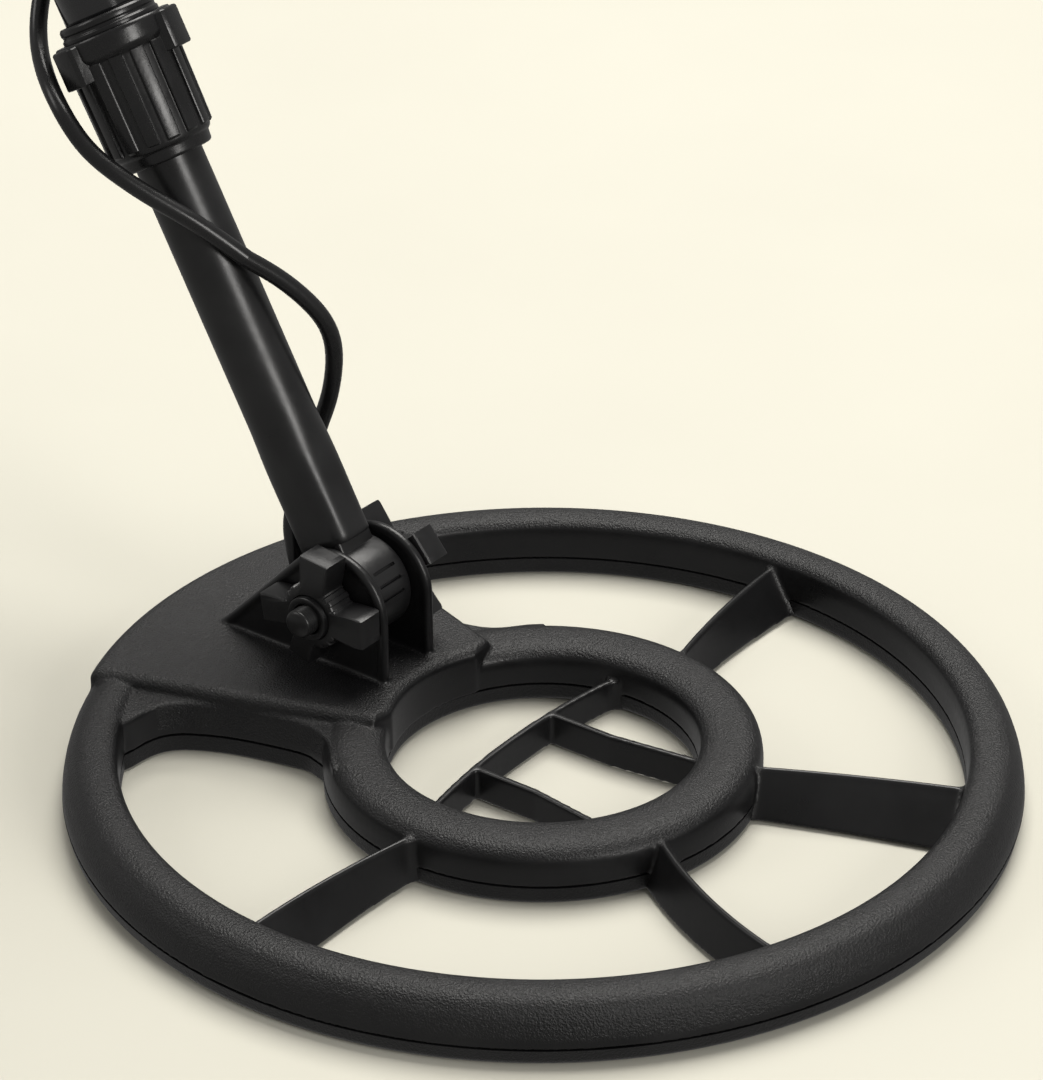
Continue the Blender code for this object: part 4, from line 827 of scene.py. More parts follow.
# ================================================================ lock nuts and collets
def pad_box(r0, r1, w0, w1, s0, s1, turn):
    """A long raised pad, its outer face following the nut's taper: r0 and w0 at s0, r1 and w1 at s1."""
    rings = []
    for s, r, w in ((s0, r0 - 0.5, w0 * 0.94), (s0 + 0.5, r0, w0), (s1 - 0.5, r1, w1), (s1, r1 - 0.5, w1 * 0.96)):
        inner = r - 3.2
        rings.append([(inner, -w, s), (r - 0.28, -w, s), (r, -w + 0.28, s), (r + 0.08, 0, s), (r, w - 0.28, s), (r - 0.28, w, s), (inner, w, s)])
    me = loft(rings)
    me.transform(R(turn, "Z"))
    return me


def lock_nut(s0, r_in, k, n_pads=15, turn=0.0):
    L = s0
    prof = [(r_in, L), (12.0 * k, L), (12.55 * k, L + 0.5), (12.75 * k, L + 3.0), (13.5 * k, L + 3.5), (13.85 * k, L + 4.3), (14.25 * k, L + 28.3), (15.7 * k, L + 29.6), (16.15 * k, L + 30.4),
            (16.25 * k, L + 34.2), (15.9 * k, L + 35.1), (12.95 * k, L + 35.1), (12.95 * k, L + 6.0), (r_in, L + 3.4)]
    me = turned(rounded(prof, 0.35, 2), 144)
    pads = []
    for i in range(n_pads):
        pads.append(pad_box(14.7 * k, 15.1 * k, 1.8 * k, 1.9 * k, L + 4.6, L + 29.0, turn + 360 / n_pads * i))
    for i in range(3):
        a = turn + 120 * i + 360 / n_pads / 2 * 0
        lug = plate([(13.6 * k, -4.7), (17.2 * k, -4.7), (18.1 * k, -3.6), (18.3 * k, 0), (18.1 * k, 3.6), (17.2 * k, 4.7), (13.6 * k, 4.7)], L + 24.6, L + 34.7, R(a, "Z"), top=0.7, segs=3, bottom=0.5)
        pads.append(lug)
    me = boolean(me, pads)
    return bevelled(me, 0.14, 2, 32)


def collet(s0, s1, r_rod, r_tube, k, s_tube):
    prof = [(r_rod, s0), (11.2 * k, s0), (12.3 * k, s0 + 4.0), (12.3 * k, s1 - 5.6), (13.2 * k, s1 - 5.0), (13.45 * k, s1 - 4.4), (13.45 * k, s1 - 3.3), (12.95 * k, s1 - 2.9), (12.95 * k, s1 - 2.2), (13.25 * k, s1 - 1.9),
            (13.2 * k, s1 - 0.7), (12.7 * k, s1), (r_tube, s1), (r_tube, s_tube - 0.4), (r_rod, s_tube - 0.4)]
    return turned(rounded(prof, 0.2, 2), 128)


NUT_TURN = -45.3 + 180 - 55 + 180
for nm, s0, r_in, k, cs, rr, rt, st in (("lower", 125.5, 9.75, 1.0, (131.6, 166.9), 9.7, 11.3, 149.0), ("upper", 446.0, 11.4, 1.14, (452.2, 489.0), 11.35, 13.3, 470.0)):
    me = lock_nut(s0, r_in, k, turn=-100.3)
    if nm == "lower":
        me.transform(Matrix.Translation((0, 0, s0 * S)) @ Matrix.Diagonal((1, 1, 1.054, 1)) @ Matrix.Translation((0, 0, -s0 * S)))
    me.transform(M_SHAFT)
    put(nm + "_nut", me, nm + "_lock_nut", NUTP, [nm + "_lock_nut"], smooth=32)
    me = collet(*cs, rr, rt, k, st)
    me.transform(M_SHAFT)
    put(nm + "_collet_sleeve", me, "root", NUTP, [nm + "_collet"], smooth=32)

# ================================================================ tubes
TUBE_R, UP_R = 11.0, 13.0
mid = turned([(11.0, 552), (11.0, 149.6), (10.7, 149.0), (9.75, 149.0), (9.75, 552)], 96)
mid.transform(M_SHAFT)
put("mid_tube", mid, "root", TUBEM, ["middle_tube"], smooth=40)


def s_path(n1=28, n2=32):
    pts = [(470.0, 0.0), (500.0, 0.0), (530.0, 0.0), (570.0, 0.0), (590.0, 0.0)]
    pts += [(600.0 + 42.0 * math.sin(math.radians(a)), 42.0 - 42.0 * math.cos(math.radians(a))) for a in [60.0 * i / n1 for i in range(n1 + 1)]]
    e, t = pts[-1], math.radians(60)
    h = (e[0] + 120.0 * math.cos(t), e[1] + 120.0 * math.sin(t))
    pts += [(e[0] + (h[0] - e[0]) * k / 4, e[1] + (h[1] - e[1]) * k / 4) for k in (1, 2, 3)]
    c2 = (h[0] + 36.0 * math.sin(t), h[1] - 36.0 * math.cos(t))
    pts += [(c2[0] - 36.0 * math.sin(math.radians(60 - a)), c2[1] + 36.0 * math.cos(math.radians(60 - a))) for a in [75.0 * i / n2 for i in range(n2 + 1)]]
    f, t2 = pts[-1], math.radians(-15)
    for k in range(1, 7):
        pts.append((f[0] + 262.0 * k / 6 * math.cos(t2), f[1] + 262.0 * k / 6 * math.sin(t2)))
    return pts, e, h, f


SP, H0, H1, F0 = s_path()
tube_me = sweep([(w, 0, s) for s, w in SP], 13.0, 72)
tube_me = boolean(tube_me, [sweep([(w, 0, s) for s, w in [(467.0, 0.0)] + SP[1:-1] + [(SP[-1][0] + 5 * math.cos(math.radians(-15)), SP[-1][1] + 5 * math.sin(math.radians(-15)))]], 11.9, 48)], "DIFFERENCE")
tube_me = boolean(tube_me, [turned([(0, 5), (0, 20), (3.1, 20), (3.1, 5)], 32, T(0, 0, 505.0) @ R(90, "X"), closed=False)], "DIFFERENCE")
tube_me.transform(M_SHAFT)
put("handle_tube", tube_me, "root", TUBEM, ["upper_tube"], smooth=35)
btn = turned(rounded([(0, 15.6), (1.6, 15.3), (2.7, 14.0), (2.7, 8.2), (0, 8.2)], 0.4, 3, closed=False)[::-1], 32, T(0, 0, 505.0) @ R(90, "X"), closed=False)
btn.transform(M_SHAFT)
put("snap_button", btn, "spring_button", STEEL, ["spring_button"])

# ================================================================ coil cable
VIEW = math.radians(-45.3)
CABLE_R = 2.4


def polar(s, lat, dep):
    return Vector((dep * math.cos(VIEW) - lat * math.sin(VIEW), dep * math.sin(VIEW) + lat * math.cos(VIEW), s))


def wrap(s):
    a = math.radians(-(s - 109.0) / 168.0 * 360.0)
    rho = 14.0 + 10.0 * math.exp(-((s - 452.0) / 24.0) ** 2) + 3.0 * math.exp(-((s - 330.0) / 40.0) ** 2)
    return polar(s, rho * math.sin(a), rho * math.cos(a))


PX, PY_, PZ = 33.0, -61.0, -8.0
M_PLUG = M_BOX @ T(PX, PY_, PZ) @ R(90, "X")
W2S = M_SHAFT.inverted()
low = [polar(94.0, 8.4, 9.7), polar(109.0, -0.4, 13.0), polar(119.6, -8.6, 13.8), polar(128.0, -13.6, 14.4), polar(136.5, -18.4, 12.4), polar(151.0, -20.6, 9.0), polar(164.5, -20.3, -8.0), polar(177.0, -14.6, -15.4)]
high = [polar(465.0, -1.0, 25.0), polar(490.0, 0.0, 25.5), Vector((24.0, -22.0, 525.0)), Vector((44.0, -30.0, 565.0))]
high += [(W2S @ M_PLUG @ (Vector(v) * S)) / S for v in ((-3, 10, 78.0), (0, 0, 48.0), (0, 0, 34.0), (0, 0, 25.0))]
def eased(points, rounds, hold=2):
    """Evens the bends of a sampled line; its ends stay."""
    pts = [Vector(p) for p in points]
    for _ in range(rounds):
        new = list(pts)
        for i in range(1, len(pts) - 1):
            if i >= hold and i < len(pts) - hold:
                new[i] = pts[i] * 0.5 + (pts[i - 1] + pts[i + 1]) * 0.25
        pts = new
    return pts


main = spline(low + [wrap(200.0 + 245.0 * k / 18) for k in range(19)] + high, 2.2)
cable_me = sweep(eased(main, 14), CABLE_R, 18)
cable_me.transform(M_SHAFT)
put("cable_main", cable_me, None, JACKET, ["coil_cable_shaft"], smooth=60,
    blend=("root", "lower_rod", M_SHAFT @ Vector((0, 0, 0.184)), M_SHAFT @ Vector((0, 0, 0.100))))
GX, GY = -83.5 + OX, 1.6
gp = [(W2S @ (Vector((GX + dx, GY + dy, z_)) * S)) / S for dx, dy, z_ in ((-4.0, 2.0, 50.0), (0, 0, 36.0), (0, 0, 25.0))]
tail_pts = spline([polar(94.3, 8.1, 9.9), polar(84.0, 15.1, 5.0), polar(71.0, 20.4, -1.0), polar(61.0, 19.9, -5.5), polar(49.5, 13.9, -11.5), polar(41.0, 6.5, -15.2)] + gp, 1.6)
tail_me = sweep(eased(tail_pts, 8), CABLE_R, 18)
tail_me.transform(M_SHAFT)
put("cable_tail", tail_me, None, JACKET, ["coil_cable_tail"], smooth=60,
    blend=("lower_rod", "coil", M_SHAFT @ Vector((0, 0, 0.060)), Vector((GX, GY, 37.0)) * S))
gl = turned(rounded([(0, 15.2), (0, 32.0), (3.3, 32.0), (3.5, 30.6), (3.9, 30.2), (3.7, 29.4), (4.0, 28.2), (4.3, 27.8), (4.1, 26.9), (4.7, 25.5), (5.3, 25.0), (5.3, 21.6), (6.0, 20.9), (6.0, 19.2), (3.0, 19.2), (3.0, 15.2)], 0.25, 2, closed=False), 48, T(GX, GY, 0), closed=False)
put("gland", gl, "coil", RUBBER, ["cable_gland"], smooth=40)

# woven hook-and-loop straps that hold the cable on the tube
def hull2(pts):
    pts = sorted(pts)
    def half(seq):
        h = []
        for q in seq:
            while len(h) > 1 and (h[-1][0] - h[-2][0]) * (q[1] - h[-2][1]) - (h[-1][1] - h[-2][1]) * (q[0] - h[-2][0]) <= 0:
                h.pop()
            h.append(q)
        return h
    a, b = half(pts), half(pts[::-1])
    return a[:-1] + b[:-1]


def band_section(c, out, along, w, t, r=0.45):
    """Rounded flat section of a strap: w along the axis, t thick outwards."""
    q = []
    for sx, sy, a0 in ((1, 1, 0), (-1, 1, 90), (-1, -1, 180), (1, -1, 270)):
        for k in range(4):
            a = math.radians(a0 + 30 * k)
            q.append((sx * (w / 2 - r) + r * math.cos(a), sy * (t / 2 - min(r, t / 2 * .95)) + min(r, t / 2 * .95) * math.sin(a)))
    return [c + along * u_ + out * v_ for u_, v_ in q]


for nm, s0 in (("lower", 232.0), ("upper", 392.0)):
    c = wrap(s0)
    cc = complex(c.x, c.y)
    pts = [(11.25 * math.cos(a), 11.25 * math.sin(a)) for a in np.linspace(0, 2 * math.pi, 60, endpoint=False)]
    pts += [(cc.real + 2.6 * math.cos(a), cc.imag + 2.6 * math.sin(a)) for a in np.linspace(0, 2 * math.pi, 40, endpoint=False)]
    h = hull2(pts)
    # even out the loop
    loop = []
    L = [Vector(q) for q in h]
    per = sum((L[(i + 1) % len(L)] - L[i]).length for i in range(len(L)))
    nn, acc, i, target = 96, 0.0, 0, 0.0
    seglen = [(L[(j + 1) % len(L)] - L[j]).length for j in range(len(L))]
    for k in range(nn):
        target = per * k / nn
        while acc + seglen[i] < target:
            acc += seglen[i]
            i += 1
        f = (target - acc) / seglen[i]
        loop.append(L[i].lerp(L[(i + 1) % len(L)], f))
    rings = []
    lap = 26
    for k in range(nn + lap):
        p, a, b = loop[k % nn], loop[(k - 1) % nn], loop[(k + 1) % nn]
        d = (b - a).normalized()
        out = Vector((d.y, -d.x, 0))
        if out.xy.dot(p) < 0:
            out = -out
        lift = 0.75 + (1.35 * min(1, max(0, (k - nn + 6) / 6)) if k > nn - 6 else 0)
        wob = 0.12 * math.sin(k * 0.9) + 0.1 * noise.noise(Vector((k * .3, s0, 0)))
        wid = 14.0 if k < nn + lap - 3 else 14.0 - 1.2 * (k - nn - lap + 4)
        rings.append(band_section(Vector((p.x, p.y, s0)) + out * (lift + wob * .4), out, Vector((0, 0, 1)), wid, 1.2))
    st = loft(rings)
    st.transform(M_SHAFT)
    put("strap_" + nm, st, "root", WEB, ["cable_strap_" + nm], smooth=50)

# ================================================================ handle grip, end plug
def sframe(s, w, ang):
    return T(w, 0, s) @ R(ang, "Y")


hm = ((H0[0] + H1[0]) / 2, (H0[1] + H1[1]) / 2)
rings = []
NG = 72
for k in range(101):
    z_ = -52 + 104 * k / 100
    e = 1 - abs(z_) / 52
    base = 16.9 + 1.1 * math.sin((z_ + 52) / 104 * math.pi * 4 - 0.8) * (1 if abs(z_) < 44 else 0.6) * 0.5
    edge = 1.9 * (1 - min(1, (52 - abs(z_)) / 3.2)) ** 2
    ring = []
    for i in range(NG):
        a = 2 * math.pi * i / NG
        front = 0.5 + 0.5 * math.cos(a)
        r = base - edge + 0.9 * front * math.sin((z_ + 52) / 104 * math.pi * 8) ** 2 * (1 if abs(z_) < 45 else 0) - 0.5 * (1 - front)
        r += 0.18 * noise.noise(Vector((math.cos(a) * 2.2, math.sin(a) * 2.2, z_ * 0.09)))
        ring.append((r * math.cos(a), r * math.sin(a) * 0.97, z_))
    rings.append(ring)
grip_me = boolean(loft(rings), [turned([(0, -60), (13.25, -60), (13.25, 60), (0, 60)], 72, closed=False)], "DIFFERENCE")
grip_me.transform(M_SHAFT @ sframe(hm[0], hm[1], 60))
put("foam_grip", grip_me, "root", FOAM, ["handle_foam_grip"], smooth=50)
F1 = SP[-1]
plug = turned(rounded([(0, 6.2), (9.0, 6.1), (12.2, 4.4), (13.1, 2.6), (13.1, 0.3), (11.0, 0.3), (10.8, -13.0), (0, -13.0)], 0.7, 3, closed=False)[::-1], 96, closed=False)
plug.transform(M_SHAFT @ sframe(F1[0], F1[1], -15))
put("end_plug", plug, "root", RUBBER, ["tube_end_plug"], smooth=40)

# ================================================================ arm cuff
CR, CT, CXC = 50.0, 3.2, 70.8


def cuff_len(a):
    k = max(0.0, (abs(a) - 66.0) / 30.0)
    return 46.0 - 15.0 * (1 - math.sqrt(max(0.0, 1 - min(1, k) ** 2)))


rings = []
for k in range(97):
    a = -96 + 2 * k
    t_ = math.radians(180 + a)
    L2 = cuff_len(a)
    e = min(1.0, (96.5 - abs(a)) / 2.2)
    flare = 2.2 * max(0, (abs(a) - 70) / 26) ** 2
    sec = []
    rc, half_t = CR + CT / 2 + flare * 0.0, CT / 2 * math.sqrt(max(0.05, 1 - (1 - e) ** 2))
    for sx, sy, a0 in ((1, 1, 0), (-1, 1, 90), (-1, -1, 180), (1, -1, 270)):
        for j in range(5):
            b_ = math.radians(a0 + 22.5 * j)
            zz = sx * (L2 - 1.5) + 1.5 * math.cos(b_)
            rr_ = rc + sy * (half_t - min(1.2, half_t)) + min(1.2, half_t) * math.sin(b_)
            sec.append((CXC + rr_ * math.cos(t_), rr_ * math.sin(t_), zz))
    rings.append(sec)
cuff = loft(rings)
saddle = boolean(block(4.6, CXC - CR - 0.9, -11, 11, -24, 24, bev=1.2, segs=2), [turned([(0, -60), (13.35, -60), (13.35, 60), (0, 60)], 64, closed=False)], "DIFFERENCE")
cuff = boolean(cuff, [saddle])
for a in (-58, -30, 30, 58):
    rib_me = block(-0.9, 0.9, -3.0, 2.4, -38, 38, bev=0.5, segs=2)
    rib_me.transform(T(CXC, 0, 0) @ R(180 + a, "Z") @ T(0, 0, 0) @ R(-90, "Z") @ T(0, CR + CT, 0))
    cuff = boolean(cuff, [rib_me])
cuts = [turned([(0, 0), (3.4, 0), (3.4, CXC), (0, CXC)], 32, R(90, "Y"), closed=False)]
for s_ in (-1, 1):
    cuts.append(block(CXC - 4, CXC + 1.5, min(s_ * 44, s_ * 60), max(s_ * 44, s_ * 60), -16, 16, bev=0.8, segs=2))
cuff = boolean(cuff, cuts, "DIFFERENCE")
cuff = bevelled(cuff, 0.25, 2, 38)
cuff.transform(M_CUFF)
put("cuff_shell", cuff, "arm_cuff", NUTP, ["arm_cuff"], smooth=38)


def inflate(me, voxel, pressure, cap, frames=20):
    """Pads a closed shape like a stuffed cover: cloth under pressure, each point's travel capped."""
    o = temp(me)
    r = o.modifiers.new("r", "REMESH")
    r.mode, r.voxel_size = "VOXEL", voxel * S
    me = baked(o)
    drop(o)
    rest = np.empty(len(me.vertices) * 3, np.float32)
    me.vertices.foreach_get("co", rest)
    rest = rest.reshape(-1, 3)
    o = temp(me)
    cl = o.modifiers.new("c", "CLOTH")
    cl.settings.use_pressure = True
    cl.settings.uniform_pressure_force = pressure
    cl.settings.effector_weights.gravity = 0
    cl.settings.quality = 5
    cl.point_cache.frame_start, cl.point_cache.frame_end = 1, frames
    for f in range(1, frames + 1):
        sc.frame_set(f)
    me2 = baked(o)
    drop(o)
    sc.frame_set(1)
    new = np.empty(len(me2.vertices) * 3, np.float32)
    me2.vertices.foreach_get("co", new)
    new = new.reshape(-1, 3)
    d = new - rest
    ln = np.linalg.norm(d, axis=1, keepdims=True)
    new = rest + d * np.minimum(1, cap * S / np.maximum(ln, 1e-9))
    me2.vertices.foreach_set("co", new.ravel())
    o = temp(me2)
    sb = o.modifiers.new("s", "SUBSURF")
    sb.levels = sb.render_levels = 1
    me3 = baked(o)
    drop(o)
    return me3


def pad_shape(r0, r1, a_max, l2):
    rings = []
    for k in range(61):
        a = -a_max + 2 * a_max * k / 60
        t_ = math.radians(180 + a)
        kk = max(0.0, (abs(a) - a_max + 12) / 12)
        L2 = l2 - 7.0 * (1 - math.sqrt(max(0.0, 1 - min(1, kk) ** 2)))
        rings.append([(CXC + r_ * math.cos(t_), r_ * math.sin(t_), z_) for r_, z_ in ((r1, -L2), (r1, L2), (r0, L2), (r0, -L2))])
    return loft(rings)


pad_me = inflate(pad_shape(46.7, 49.2, 72, 40.5), 2.2, 2.0, 1.1)
# sewn channels: pull the inner face towards the cuff along three lines and round the bolt, and flatten what would pass into the cuff
pv = np.empty(len(pad_me.vertices) * 3, np.float32)
pad_me.vertices.foreach_get("co", pv)
pv = pv.reshape(-1, 3) * 1000
dx, dy = pv[:, 0] - CXC, pv[:, 1]
rr_ = np.hypot(dx, dy)
ang = np.degrees(np.arctan2(dy, -dx))
depth = np.zeros(len(pv))
for a in (-36.0, 0.0, 36.0):
    depth = np.maximum(depth, np.exp(-((ang - a) * math.radians(1) * 47 / 1.6) ** 2))
depth = np.maximum(depth, np.exp(-((np.abs(pv[:, 2]) - 35.5) / 1.2) ** 2))
depth = np.maximum(depth, np.exp(-((np.abs(ang) - 67) * math.radians(1) * 47 / 1.3) ** 2))
bolt = np.hypot(dy, pv[:, 2])
depth = np.maximum(depth, np.where(-dx > 30, np.clip((9.0 - bolt) / 2.5, 0, 1), 0) * 0.9)
inner_face = rr_ < 48.0
r_new = np.where(inner_face, rr_ + depth * np.minimum(1.5, 48.2 - rr_), np.minimum(rr_, 49.75))
pv[:, 0], pv[:, 1] = CXC + dx / rr_ * r_new, dy / rr_ * r_new
pad_me.vertices.foreach_set("co", (pv / 1000).astype(np.float32).ravel())
pad_me = boolean(pad_me, [turned([(0, -5), (7.0, -5), (7.0, 40), (0, 40)], 40, R(90, "Y"), closed=False)], "DIFFERENCE")
pad_me.transform(M_CUFF)
put("cuff_pad", pad_me, "arm_cuff", FABRIC_PAD, ["arm_cuff_pad"], smooth=60)

# arm strap: over the forearm, through the slots, with its hook-and-loop end doubled over
def strap_band(r, a0, a1, w, t, n=70, sag=0.0, taper=0):
    rings = []
    for k in range(n + 1):
        a = math.radians(a0 + (a1 - a0) * k / n)
        rr2 = r + 0.35 * math.sin(k * 0.31) * 0.4 + sag * math.cos(math.pi * ((a0 + (a1 - a0) * k / n) - (a0 + a1) / 2) / (a1 - a0)) ** 2
        out = Vector((math.cos(a), math.sin(a), 0))
        ww = w - (taper * (k - n + 3) if k > n - 3 else 0)
        rings.append(band_section(Vector((CXC, 0, 0)) + out * rr2, out, Vector((0, 0, 1)), ww, t))
    return loft(rings)


st1 = strap_band(50.8, -84, 84, 25.0, 1.5)
st2 = strap_band(52.5, -10, 80, 24.4, 1.4, 50, 0.0, 1.4)
for sgn in (-1, 1):
    pass
strap_me = joined(st1, st2)
strap_me.transform(M_CUFF)
put("arm_strap_web", strap_me, "arm_cuff", WEB, ["arm_strap"], smooth=50)
# stitches of the doubled end
stitches = []
for zc in (-9.5, 9.5):
    for k in range(11):
        a = 52 + 2.3 * k
        stitches.append(sweep([Vector((CXC, 0, 0)) + Vector((math.cos(math.radians(a + d)), math.sin(math.radians(a + d)), 0)) * (53.25 + (0.12 if abs(d) < .1 else 0)) + Vector((0, 0, zc)) for d in (-0.75, 0, 0.75)], 0.28, 6))
for a in (52, 75):
    for k in range(8):
        zc = -8.4 + 2.4 * k
        stitches.append(sweep([Vector((CXC, 0, 0)) + Vector((math.cos(math.radians(a)), math.sin(math.radians(a)), 0)) * (53.25 + (0.12 if abs(d) < .1 else 0)) + Vector((0, 0, zc + d)) for d in (-0.8, 0, 0.8)], 0.28, 6))
st = joined(*stitches)
st.transform(M_CUFF)
put("strap_stitches", st, "arm_cuff", THREAD, (), smooth=50)
cb = turned(rounded([(0, 3.4), (3.8, 2.9), (5.4, 0.9), (3.0, 0.9), (3.0, -47.6), (2.6, -48.0), (0, -48.0)], 0.25, 2, closed=False)[::-1], 48, closed=False)
cb = boolean(cb, [block(-0.6, 0.6, -3.4, 3.4, 1.8, 6, bev=0.1, segs=1), block(-3.4, 3.4, -0.6, 0.6, 1.8, 6, bev=0.1, segs=1)], "DIFFERENCE")
cb.transform(M_CUFF @ T(CXC - CR, 0, 0) @ R(90, "Y"))
put("cuff_bolt_steel", cb, "arm_cuff", STEEL, ["cuff_bolt"], smooth=35)
cn = bevelled(boolean(turned([(0, -5.5), (5.6, -5.5), (6.9, -4.6), (6.9, -0.9), (5.6, 0), (0, 0)], 6, None, closed=False), [turned([(0, -9), (3.2, -9), (3.2, 9), (0, 9)], 40, closed=False)], "DIFFERENCE"), 0.15, 2, 25)
cn.transform(M_CUFF @ T(-16.6, 0, 0) @ R(90, "Y"))
put("cuff_nut_steel", cn, "arm_cuff", STEEL, ["cuff_nut"], smooth=35)

# stand: a clamp half under the tube with two splayed feet
leg_pts = [(-12, -9), (-12, 9), (-26, 14.2), (-40, 20), (-52, 30), (-64, 40), (-67, 41.0), (-70, 40), (-70.9, 36.5), (-70, 33), (-59, 22), (-48, 13), (-45.6, 6), (-45, 0), (-45.6, -6), (-48, -13), (-59, -22), (-70, -33), (-70.9, -36.5), (-70, -40), (-67, -41), (-64, -40), (-52, -30), (-40, -20), (-26, -14.2)]
legm = plate([(x * 0.998, y * 0.985) for x, y in leg_pts], -7, 7, None, top=1.6, segs=3, bottom=1.6)
std = boolean(block(-15.5, -4.6, -11, 11, -24, 24, bev=1.8, segs=3), [legm])
# lightening pockets on both sides of the legs
pk = [(-30, -5.5), (-30, 5.5), (-42, 5.0), (-42, -5.0)]
for sgn in (-1, 1):
    for q in ([(-27, sgn * 4), (-27, sgn * 9.5), (-40, sgn * 15.0), (-58, sgn * 31), (-60.5, sgn * 29.0), (-47, sgn * 16.0), (-42, sgn * 6.0)],):
        q = q if sgn > 0 else q[::-1]
        for z0_, z1_ in ((4.6, 9.0), (-9.0, -4.6)):
            std = boolean(std, [plate(q[::-1], z0_, z1_, None)], "DIFFERENCE")
std = boolean(std, [turned([(0, -60), (13.4, -60), (13.4, 60), (0, 60)], 64, closed=False), turned([(0, -60), (3.4, -60), (3.4, 0), (0, 0)], 32, R(90, "Y"), closed=False),
                    turned([(0, -80), (7.2, -80), (7.2, -16.0), (0, -16.0)], 6, R(90, "Y"), closed=False)], "DIFFERENCE")
std = bevelled(std, 0.35, 2, 40)
std.transform(M_CUFF)
put("stand", std, "arm_cuff", NUTP, ["stand_foot"], smooth=35)

# ================================================================ control box
BW, BH, BD, BR, WALL, SPLIT = 96.0, 122.0, 46.0, 11.0, 2.4, 6.0


def rrect(w, h, r, n=8, cx=0.0, cy=0.0):
    pts = []
    for qx, qy, a in ((1, 1, 0), (-1, 1, 90), (-1, -1, 180), (1, -1, 270)):
        pts += arc(cx + qx * (w / 2 - r), cy + qy * (h / 2 - r), r, a, a + 90, n)
    return pts


def hole(r, z0, z1, seg, M):
    return turned([(0, z0), (r, z0), (r, z1), (0, z1)], seg, M, closed=False)


rear = plate(rrect(BW, BH, BR), -BD / 2, SPLIT, None, segs=5, bottom=4.0)
rear = boolean(rear, [plate(rrect(BW - 2 * WALL, BH - 2 * WALL, BR - WALL), -BD / 2 + WALL, SPLIT + 5, None)], "DIFFERENCE")
cutters = [plate(rrect(56, 52, 3, 4, 0, -24), -40, -15)]
cutters += [hole(1.9, -40, 0, 24, T(x, y, 0)) for x in (-39, 39) for y in (-52, 52)]
cutters += [turned([(0, -40), (4.4, -40), (4.4, -22.0), (0, -22.0)], 32, T(x, y, 0), closed=False) for x in (-39, 39) for y in (-52, 52)][:0]
cutters += [hole(4.4, 40, 60, 40, T(0, 6, -8) @ R(90, "Y")), hole(7.4, BH / 2 - 8, BH / 2 + 8, 48, T(33, 0, -8) @ R(90, "X"))]
for i in range(-2, 3):
    w_ = math.sqrt(max(1.0, 16.0 ** 2 - (5.0 * i) ** 2))
    cutters.append(plate(rrect(2 * min(w_, 14), 2.0, 0.95, 6, 0, 30 + 5 * i), -40, -15))
cutters += [hole(1.8, BH / 2 - 8, BH / 2 + 8, 20, T(x, 0, 0) @ R(90, "X")) for x in (-19.0, 19.0)]
rear = boolean(rear, cutters, "DIFFERENCE")
# grip lines on one side of the case
for sgn in (-1, 1):
    rear = boolean(rear, [block(sgn * 48 - 0.5, sgn * 48 + 0.5, -34 + 6 * k, -31.6 + 6 * k, -14, 2, bev=0.3, segs=2) for k in range(6)], "DIFFERENCE") if sgn < 0 else rear
rear = bevelled(rear, 0.3, 2, 40)
rear.transform(M_BOX)
put("rear_case", rear, "root", CASE, ["box_rear_shell"], smooth=35)

LW, LH, LY = 66.0, 46.0, 24.0
front = plate(rrect(BW, BH, BR), SPLIT + 0.3, BD / 2, None, top=3.5, segs=5)
front = boolean(front, [plate(rrect(BW - 2 * WALL, BH - 2 * WALL, BR - WALL), 0, BD / 2 - WALL - 0.4)], "DIFFERENCE")
BTN = {"power_button": (0.0, -44.0, 6.4), "mode_button": (-27.0, -16.0, 5.6), "pinpoint_button": (27.0, -16.0, 5.6), "minus_button": (-27.0, -36.0, 5.6), "plus_button": (27.0, -36.0, 5.6)}
cutters = [plate(rrect(LW, LH, 4, 6, 0, LY), BD / 2 - 1.3, 40), plate(rrect(LW - 6, LH - 6, 2, 4, 0, LY), 10, 40)]
cutters += [hole(r + 0.4, 10, 40, 48, T(x, y, 0)) for x, y, r in BTN.values()]
cutters += [turned([(0, 22.2), (r + 0.9, 22.2), (r + 2.1, 23.6), (0, 23.6)], 48, T(x, y, 0), closed=False) for x, y, r in BTN.values()]
cutters += [turned([(34.0, 22.55), (34.7, 22.55), (34.7, 24), (34.0, 24)], 96, T(0, -26, 0))][:0]
front = boolean(front, cutters, "DIFFERENCE")
# a fine groove round the key field
front = boolean(front, [plate(rrect(58 + 18, 50, 8, 8, 0, -30), 22.6, 24), ], "DIFFERENCE") if False else front
groove = boolean(plate(rrect(80, 46, 9, 8, 0, -30), 22.5, 24), [plate(rrect(78.8, 44.8, 8.4, 8, 0, -30), 22, 25)], "DIFFERENCE")
front = boolean(front, [groove], "DIFFERENCE")
front = bevelled(front, 0.3, 2, 40)
front.transform(M_BOX)
put("front_case", front, "root", CASE, ["box_front_shell"], smooth=35)

win = plate(rrect(LW - 0.8, LH - 0.8, 3.6, 6, 0, LY), BD / 2 - 1.0, BD / 2 + 0.1, None, top=0.35, segs=3)
win.transform(M_BOX)
put("window", win, "root", WINDOW, ["display_window"], smooth=30)
# display: printed border behind the window, glass cell and its segments
border = boolean(plate(rrect(59.4, 39.4, 1.5, 4, 0, LY), 19.2, 19.7), [plate(rrect(53, 33.5, 1.0, 4, 0, LY), 18, 21)], "DIFFERENCE")
border.transform(M_BOX)
put("display_border", border, "root", SATIN, (), smooth=30)
cell = plate(rrect(61.6, 41.6, 0.8, 3, 0, LY), 15.25, 18.35, None, top=0.2, segs=2)
cell.transform(M_BOX)
put("display_cell", cell, "root", LCD, ["lcd_panel"], smooth=30)


